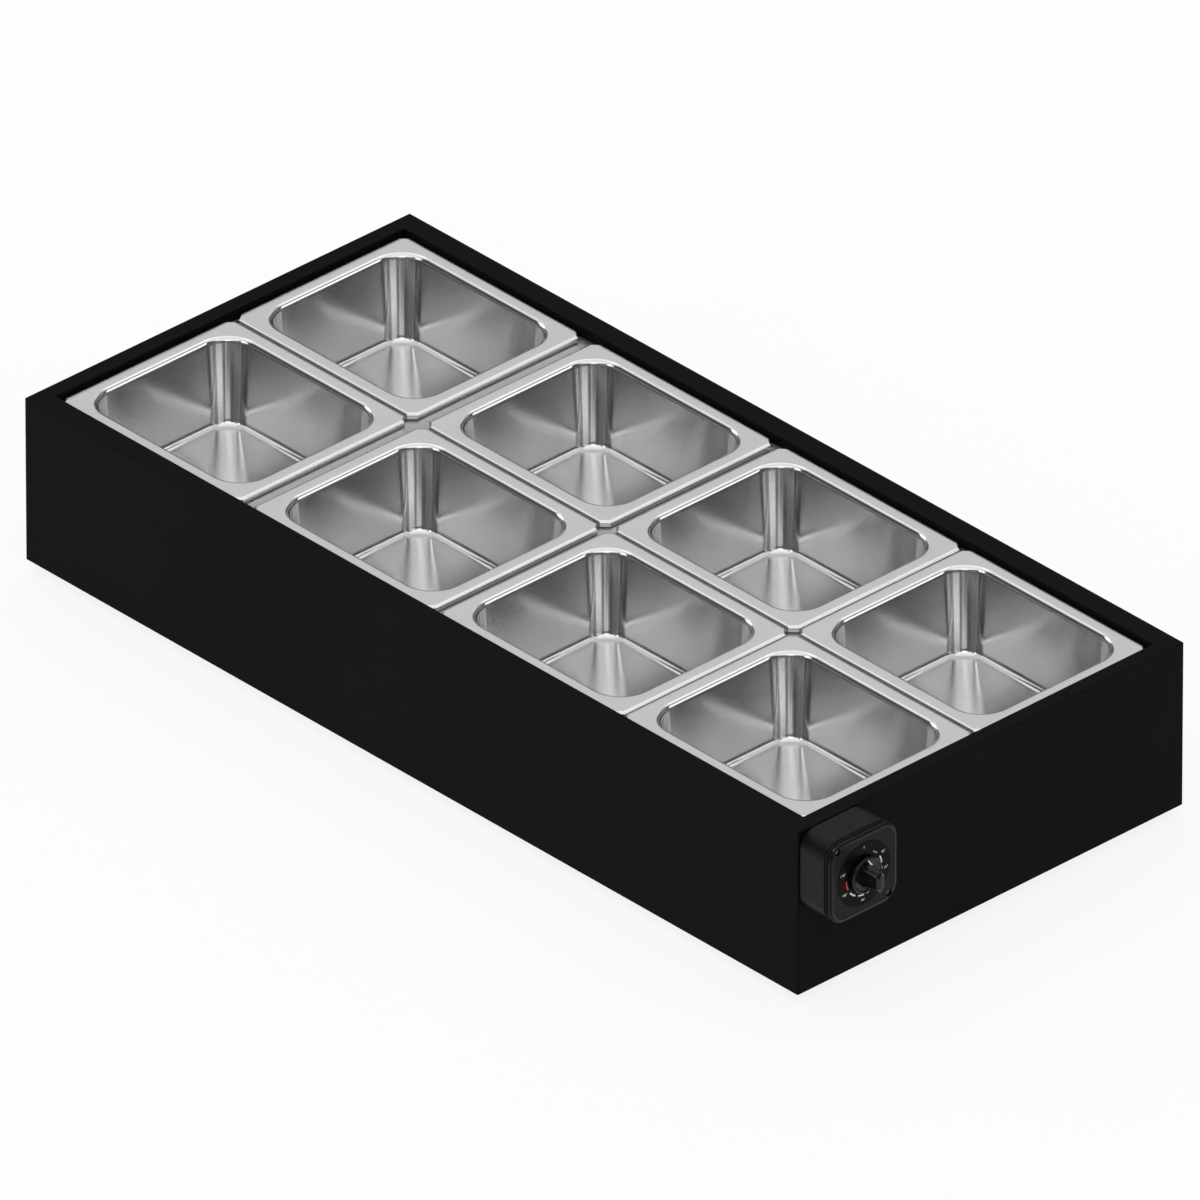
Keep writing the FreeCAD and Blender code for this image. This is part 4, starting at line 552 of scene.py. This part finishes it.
class BUFFET_OT_cover_screws(bpy.types.Operator):
    """Two cross-head screws in the cover's sunk holes"""
    bl_idname = "buffet.cover_screws"
    bl_label = "Cover screws"

    def execute(self, context):
        low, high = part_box("cover_screws")
        head, shank, rise = SCREW_HEAD, 1.5 * MM, 1.8 * MM
        tip, tip_length, dome_radius = 0.5 * MM, 1.6 * MM, 1.6 * head
        long_arm, thin_arm = 1.35 * head, 0.34 * head
        reach = high.x - low.x - rise
        both = bmesh.new()
        for y, z in ((low.y + head, high.z - head), (high.y - head, low.z + head)):
            bm = bmesh.new()
            dome = arc((0.0, rise - dome_radius), dome_radius, 50.0, 90.0, 6)
            profile = [(0.0, -reach), (tip, -reach), (shank, tip_length - reach), (shank, 0.0),
                       (head, 0.0), (head, dome[0][1])]
            profile += [point for point in dome if point[0] < head]
            lathe(bm, profile, 36)
            clean(bm)
            # One cut for each arm of the cross: arms that overlap in one cutter empty the screw.
            for wide, upright in ((long_arm, thin_arm), (thin_arm, long_arm)):
                arm = bmesh.new()
                made = bmesh.ops.create_cube(arm, size=1.0)["verts"]
                bmesh.ops.scale(arm, vec=(wide, upright, rise), verts=made)
                bmesh.ops.translate(arm, vec=(0.0, 0.0, rise), verts=made)
                bm = carve(bm, arm)
            bm.transform(Matrix.Translation((y - KNOB_AXIS.y, z - KNOB_AXIS.z, 0.0)))
            join(both, bm)
        piece("cover_screws_turned", both, "plated_screw", "housing", ("cover_screws",),
              on_control(high.x - rise))
        return {"FINISHED"}


# Dashes of the dial as (ink, middle, span), and its numbers with their places, all in degrees
# clockwise from the top.
DASHES = (("grey", 38.0, 17.0), ("white", 72.0, 21.0), ("white", 105.0, 21.0),
          ("white", 135.0, 18.0), ("white", 162.5, 18.0), ("white", 190.0, 19.0),
          ("white", 221.0, 22.0), ("red", 258.0, 25.0))
NUMBERS = (("0", 0.0), ("30", 60.0), ("50", 99.0), ("70", 138.0), ("90", 182.0),
           ("100", 241.0), ("110", 288.0))


class BUFFET_OT_dial(bpy.types.Operator):
    """Round dial plate with its printed dashes and numbers"""
    bl_idname = "buffet.dial"
    bl_label = "Dial"

    def execute(self, context):
        size = context.scene.warmer_control
        low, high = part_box("dial_plate")
        radius, depth, blunt = (high.y - low.y) / 2, high.x - low.x, 0.25 * MM
        half_dash, dash_rise, number_rise = 0.55 * MM, 0.03 * MM, 0.015 * MM
        bm = bmesh.new()
        lathe(bm, [(SPINDLE_HOLE, 0.0), (radius, 0.0), (radius, depth - blunt),
                   (radius - blunt, depth), (SPINDLE_HOLE, depth), (SPINDLE_HOLE, 0.0)], 160)
        clean(bm)
        piece("dial_plate_printed", bm, "dial_face", "housing", ("dial_plate",),
              on_control(low.x))
        for number, (ink, middle, span) in enumerate(DASHES, start=1):
            bm = bmesh.new()
            start = middle - span / 2
            ends = [bm.verts.new(polar(size.mark_radius + side * half_dash, start))
                    for side in (-1, 1)]
            line = bm.edges.new(ends)
            bmesh.ops.spin(bm, geom=ends + [line], cent=(0, 0, 0), axis=(0, 0, -1), dvec=(0, 0, 0),
                           angle=math.radians(span), steps=12)
            top = bmesh.ops.extrude_face_region(bm, geom=list(bm.faces))["geom"]
            raised = [item for item in top if isinstance(item, bmesh.types.BMVert)]
            bmesh.ops.translate(bm, vec=(0, 0, dash_rise), verts=raised)
            clean(bm)
            piece(f"dial_dash_{number}", bm, f"print_{ink}", "housing", (),
                  on_control(high.x))
        for words, turn in NUMBERS:
            label = words if words == "0" else f"{words}°"
            text = bpy.data.curves.new(f"text_{words}", "FONT")
            text.body, text.size, text.extrude = label, size.number_height, number_rise
            text.align_x, text.align_y, text.resolution_u = "CENTER", "CENTER", 3
            holder = bpy.data.objects.new(f"text_{words}", text)
            bpy.context.scene.collection.objects.link(holder)
            bpy.context.view_layer.update()
            graph = bpy.context.evaluated_depsgraph_get()
            mesh = bpy.data.meshes.new_from_object(holder.evaluated_get(graph))
            bm = bmesh.new()
            bm.from_mesh(mesh)
            bpy.data.objects.remove(holder)
            bpy.data.meshes.remove(mesh)
            shift = polar(size.number_radius, turn) + Vector((0.0, 0.0, number_rise))
            bm.transform(Matrix.Translation(shift))
            piece(f"dial_number_{words}", bm, "print_white", "housing", (),
                  on_control(high.x))
        return {"FINISHED"}


class BUFFET_OT_knob(bpy.types.Operator):
    """Gloss knob: a dished skirt, a faceted grip and a white pointer"""
    bl_idname = "buffet.knob"
    bl_label = "Knob"

    def execute(self, context):
        low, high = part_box("control_knob")
        radius, tall = 13.2 * MM, high.x - low.x
        skirt, dish = 3.2 * MM, 0.8 * MM
        bore, hub, wall, hollow = 3.1 * MM, 5.5 * MM, 11.6 * MM, 1.6 * MM
        blunt, outer, inner = 0.3 * MM, 1.2 * MM, 0.6 * MM
        rim_width, point_drop = 1.6 * MM, 1.4 * MM
        rim = radius - rim_width
        bm = bmesh.new()
        profile = [(bore, 0.0), (hub, 0.0), (hub, hollow), (wall, hollow), (wall, 0.0),
                   (radius - blunt, 0.0), (radius, blunt)]
        profile += arc((radius - outer, skirt - outer), outer, 0.0, 90.0, 6)
        profile += arc((rim + inner, skirt - inner), inner, 90.0, 180.0, 4)
        profile += arc((rim - dish, skirt), dish, 0.0, -90.0, 6)[1:]
        profile += [(0.0, skirt - dish)]
        lathe(bm, profile, 128)
        clean(bm)
        grip = bmesh.new()
        half_w, half_l = 4.9 * MM, 11.9 * MM
        foot = round_disc(grip, 1.0, skirt - 2 * dish, 6)
        for vert in foot.verts:
            end = abs(vert.co.x) < 0.1
            vert.co.x = 0.0 if end else math.copysign(half_w, vert.co.x)
            vert.co.y = math.copysign(half_l if end else half_l - half_w, vert.co.y)
        step = 4.0 * MM
        # Levels of the grip with its width and length there, as shares of those at its foot.
        stages = ((skirt + step, 0.86, 0.82), (tall - point_drop, 0.74, 0.66), (tall, 0.44, 0.50))
        face = foot
        last = (1.0, 1.0)
        for level, wide, long in stages:
            made = bmesh.ops.extrude_face_region(grip, geom=[face])["geom"]
            face = next(item for item in made if isinstance(item, bmesh.types.BMFace))
            bmesh.ops.scale(grip, vec=(wide / last[0], long / last[1], 1.0), verts=face.verts)
            bmesh.ops.translate(grip, vec=(0, 0, level - face.calc_center_median().z),
                                verts=face.verts)
            last = (wide, long)
        clean(grip)
        soften(grip, 0.35 * MM, sharper_than=12.0)
        join(bm, grip)
        place = on_control(low.x)
        piece("control_knob_gloss", bm, "knob_gloss", "knob", ("control_knob",), place)
        bar = bmesh.new()
        bar_size = (1.0 * MM, 4.0 * MM, 0.3 * MM)
        made = bmesh.ops.create_cube(bar, size=1.0)["verts"]
        bmesh.ops.scale(bar, vec=bar_size, verts=made)
        soften(bar, 0.06 * MM, steps=2)
        run = 0.18 * half_l  # what the grip's end leans in over its lowest stage
        slope = math.atan2(step + 2 * dish, run)
        tilt = Matrix.Rotation(-slope, 3, "X")
        bmesh.ops.rotate(bar, cent=(0, 0, 0), matrix=tilt, verts=bar.verts)
        on_slope = (0.0, 0.90 * half_l, skirt + 1.9 * MM)
        bmesh.ops.translate(bar, vec=on_slope, verts=bar.verts)
        piece("knob_pointer", bar, "print_white", "knob", (), place)
        return {"FINISHED"}


class BUFFET_OT_feet(bpy.types.Operator):
    """Four rubber feet with a rounded sole and a sunk screw"""
    bl_idname = "buffet.feet"
    bl_label = "Feet"

    def execute(self, context):
        sink, sink_mouth = 3.0 * MM, 3.4 * MM
        sole, inset, brim = 1.2 * MM, 2.7 * MM, 1.8 * MM
        plug, plug_rise = 5.8 * MM, 1.2 * MM
        for name in FEET:
            low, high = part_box(name)
            middle = (low + high) / 2
            radius, tall = (high.x - low.x) / 2, high.z - low.z
            bm = bmesh.new()
            profile = [(0.0, sink), (sink, sink), (sink_mouth, 0.0)]
            profile += arc((radius - inset, sole), sole, -90.0, 0.0, 5)
            profile += [(radius, tall - brim), (radius, tall - plug_rise), (plug, tall - plug_rise),
                        (plug, tall), (0.0, tall)]
            lathe(bm, profile, 56)
            clean(bm)
            place = Matrix.Translation((middle.x, middle.y, low.z))
            piece(f"{name}_turned", bm, "black_rubber", "housing", (name,), place)
        return {"FINISHED"}


class BUFFET_OT_studio(bpy.types.Operator):
    """Pale floor, soft studio light and the camera"""
    bl_idname = "buffet.studio"
    bl_label = "Studio"

    def execute(self, context):
        size = context.scene.warmer_studio
        make_floor(size.floor)
        make_sky(size.azimuth)
        make_camera(size)
        context.scene.view_settings.view_transform = "Standard"
        return {"FINISHED"}


# The floor's own grey, and the share of plain white that the camera and the steel see in it.
FLOOR_GREY, FLOOR_WHITE = 0.86, 0.86
# Brightness of the studio by height, as (sine of the elevation, grey).
SKY_STOPS = ((0.0, 0.92), (0.05, 0.86), (0.12, 0.09), (0.70, 0.10), (0.82, 1.22), (1.0, 1.22))
# Lamps, as (turn from the camera, half width, soft edge, lowest, highest, strength), in degrees.
LAMPS = ((180.0, 44.0, 12.0, 24.0, 62.0, 0.84), (-60.0, 11.0, 4.0, 22.0, 42.0, 2.8),
         (-124.0, 13.0, 4.0, 22.0, 42.0, 3.4), (84.0, 5.0, 3.0, 20.0, 42.0, 2.8),
         (118.0, 10.0, 4.0, 22.0, 50.0, 0.35), (-1.0, 10.0, 5.0, 24.0, 36.0, 1.8),
         (0.0, 40.0, 14.0, 36.0, 46.0, 2.1), (0.0, 60.0, 14.0, 46.0, 62.0, 0.35))
# Degrees on each side of a lamp's lowest and highest edge over which it fades.
FADE = 4.0


def make_floor(half):
    """Pale floor that shows nearly white to the camera and in steel, keeps the warmer's shadow,
    and can be seen through from below."""
    bm = bmesh.new()
    bmesh.ops.create_grid(bm, x_segments=8, y_segments=8, size=half)
    mesh = bpy.data.meshes.new("floor")
    bm.to_mesh(mesh)
    bm.free()
    floor = bpy.data.objects.new("floor", mesh)
    bpy.context.scene.collection.objects.link(floor)
    material = bpy.data.materials.new("pale_floor")
    material.use_nodes = True
    tree = material.node_tree
    tree.nodes.clear()
    ray = add(tree, "ShaderNodeLightPath").outputs
    seen = add(tree, "ShaderNodeMath", {"operation": "ADD"}, i0=ray["Is Camera Ray"],
               i1=ray["Is Glossy Ray"]).outputs[0]
    seen = add(tree, "ShaderNodeMath", {"operation": "ADD", "use_clamp": True}, i0=seen,
               i1=ray["Is Transmission Ray"]).outputs[0]
    share = add(tree, "ShaderNodeMath", {"operation": "MULTIPLY"}, i0=seen,
                i1=FLOOR_WHITE).outputs[0]
    matt = add(tree, "ShaderNodeBsdfDiffuse", Color=(*[FLOOR_GREY] * 3, 1.0)).outputs[0]
    white = add(tree, "ShaderNodeEmission", Color=(1.0, 1.0, 1.0, 1.0), Strength=1.0).outputs[0]
    top = add(tree, "ShaderNodeMixShader", i0=share, i1=matt, i2=white).outputs[0]
    under = add(tree, "ShaderNodeBsdfTransparent").outputs[0]
    behind = add(tree, "ShaderNodeNewGeometry").outputs["Backfacing"]
    both = add(tree, "ShaderNodeMixShader", i0=behind, i1=top, i2=under).outputs[0]
    add(tree, "ShaderNodeOutputMaterial", Surface=both)
    mesh.materials.append(material)


def make_sky(azimuth):
    """Soft studio all round: a bright ceiling, a pale horizon, and dark walls between them with
    broad lamps on the camera's side, narrow ones at the sides and a backdrop opposite."""
    world = bpy.data.worlds.new("studio")
    bpy.context.scene.world = world
    world.use_nodes = True
    tree = world.node_tree
    tree.nodes.clear()
    way = add(tree, "ShaderNodeTexCoord").outputs["Generated"]
    height = add(tree, "ShaderNodeSeparateXYZ", Vector=way).outputs["Z"]
    level = add(tree, "ShaderNodeVectorMath", {"operation": "MULTIPLY"}, i0=way,
                i1=(1.0, 1.0, 0.0)).outputs["Vector"]
    level = add(tree, "ShaderNodeVectorMath", {"operation": "NORMALIZE"},
                i0=level).outputs["Vector"]
    total = graded(tree, height, SKY_STOPS)
    for turn, half_width, edge, low, high, strength in LAMPS:
        around = azimuth + math.radians(turn)
        axis = (math.sin(around), -math.cos(around), 0.0)
        facing = add(tree, "ShaderNodeVectorMath", {"operation": "DOT_PRODUCT"}, i0=level,
                     i1=axis).outputs["Value"]
        dark, full = (math.cos(math.radians(half_width + side * edge)) for side in (1, -1))
        glow = add(tree, "ShaderNodeMapRange", {"interpolation_type": "SMOOTHSTEP"}, Value=facing,
                   From_Min=dark, From_Max=full, To_Min=0.0, To_Max=strength).outputs["Result"]
        for bound, side in ((low, 1), (high, -1)):
            off, on = (math.sin(math.radians(bound + sign * side * FADE)) for sign in (-1, 1))
            mask = add(tree, "ShaderNodeMapRange", {"interpolation_type": "SMOOTHSTEP"},
                       Value=height, From_Min=min(off, on), From_Max=max(off, on),
                       To_Min=0.0 if side > 0 else 1.0,
                       To_Max=1.0 if side > 0 else 0.0).outputs["Result"]
            glow = add(tree, "ShaderNodeMath", {"operation": "MULTIPLY"}, i0=glow,
                       i1=mask).outputs[0]
        total = add(tree, "ShaderNodeVectorMath", {"operation": "ADD"}, i0=total,
                    i1=glow).outputs["Vector"]
    background = add(tree, "ShaderNodeBackground", Color=total, Strength=1.0).outputs[0]
    add(tree, "ShaderNodeOutputWorld", Surface=background)


def graded(tree, value, stops):
    """Grey that follows a value through stops of (place, brightness)."""
    ramp = add(tree, "ShaderNodeValToRGB", Fac=value)
    while len(ramp.color_ramp.elements) < len(stops):
        ramp.color_ramp.elements.new(0.5)
    for element, (where, grey) in zip(ramp.color_ramp.elements, stops):
        element.position = where
        element.color = (grey, grey, grey, 1.0)
    return ramp.outputs["Color"]


def make_camera(size):
    """Camera far off with a long lens, so that parallel edges stay very nearly parallel."""
    data = bpy.data.cameras.new("camera")
    data.lens, data.sensor_width, data.clip_end = size.focus, size.sensor, 5 * size.distance
    camera = bpy.data.objects.new("camera", data)
    bpy.context.scene.collection.objects.link(camera)
    around, up = size.azimuth, size.elevation
    back = Vector((math.sin(around) * math.cos(up), -math.cos(around) * math.cos(up), math.sin(up)))
    camera.rotation_mode = "QUATERNION"
    camera.location = Vector(size.aim) + back * size.distance
    camera.rotation_quaternion = (-back).to_track_quat("-Z", "Y")
    bpy.context.scene.camera = camera


class BUFFET_PT_panel(bpy.types.Panel):
    """Lists the steps in the 3D view's sidebar"""
    bl_idname = "BUFFET_PT_panel"
    bl_label = "Buffet warmer"
    bl_space_type = "VIEW_3D"
    bl_region_type = "UI"
    bl_category = "Warmer"

    def draw(self, context):
        for step in STEPS:
            self.layout.operator(step.bl_idname)
        for group in GROUPS:
            settings = getattr(context.scene, group)
            for name in settings.bl_rna.properties.keys():
                if name not in ("rna_type", "name"):
                    self.layout.prop(settings, name)


STEPS = (BUFFET_OT_finishes, BUFFET_OT_pans, BUFFET_OT_control_cover, BUFFET_OT_cover_screws,
         BUFFET_OT_dial, BUFFET_OT_knob, BUFFET_OT_feet, BUFFET_OT_studio)
GROUPS = {"warmer_pans": PanSizes, "warmer_control": ControlSizes, "warmer_finishes": Finishes,
          "warmer_studio": Studio}


def register():
    for kind in (*GROUPS.values(), *STEPS, BUFFET_PT_panel):
        bpy.utils.register_class(kind)
    for name, kind in GROUPS.items():
        setattr(bpy.types.Scene, name, PointerProperty(type=kind))


def unregister():
    for name in GROUPS:
        delattr(bpy.types.Scene, name)
    for kind in (BUFFET_PT_panel, *reversed(STEPS), *reversed(GROUPS.values())):
        bpy.utils.unregister_class(kind)


def main():
    register()
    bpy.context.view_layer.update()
    bpy.ops.buffet.finishes()
    bpy.ops.buffet.pans()
    bpy.ops.buffet.control_cover()
    bpy.ops.buffet.cover_screws()
    bpy.ops.buffet.dial()
    bpy.ops.buffet.knob()
    bpy.ops.buffet.feet()
    bpy.ops.buffet.studio()


if __name__ == "__main__":
    main()
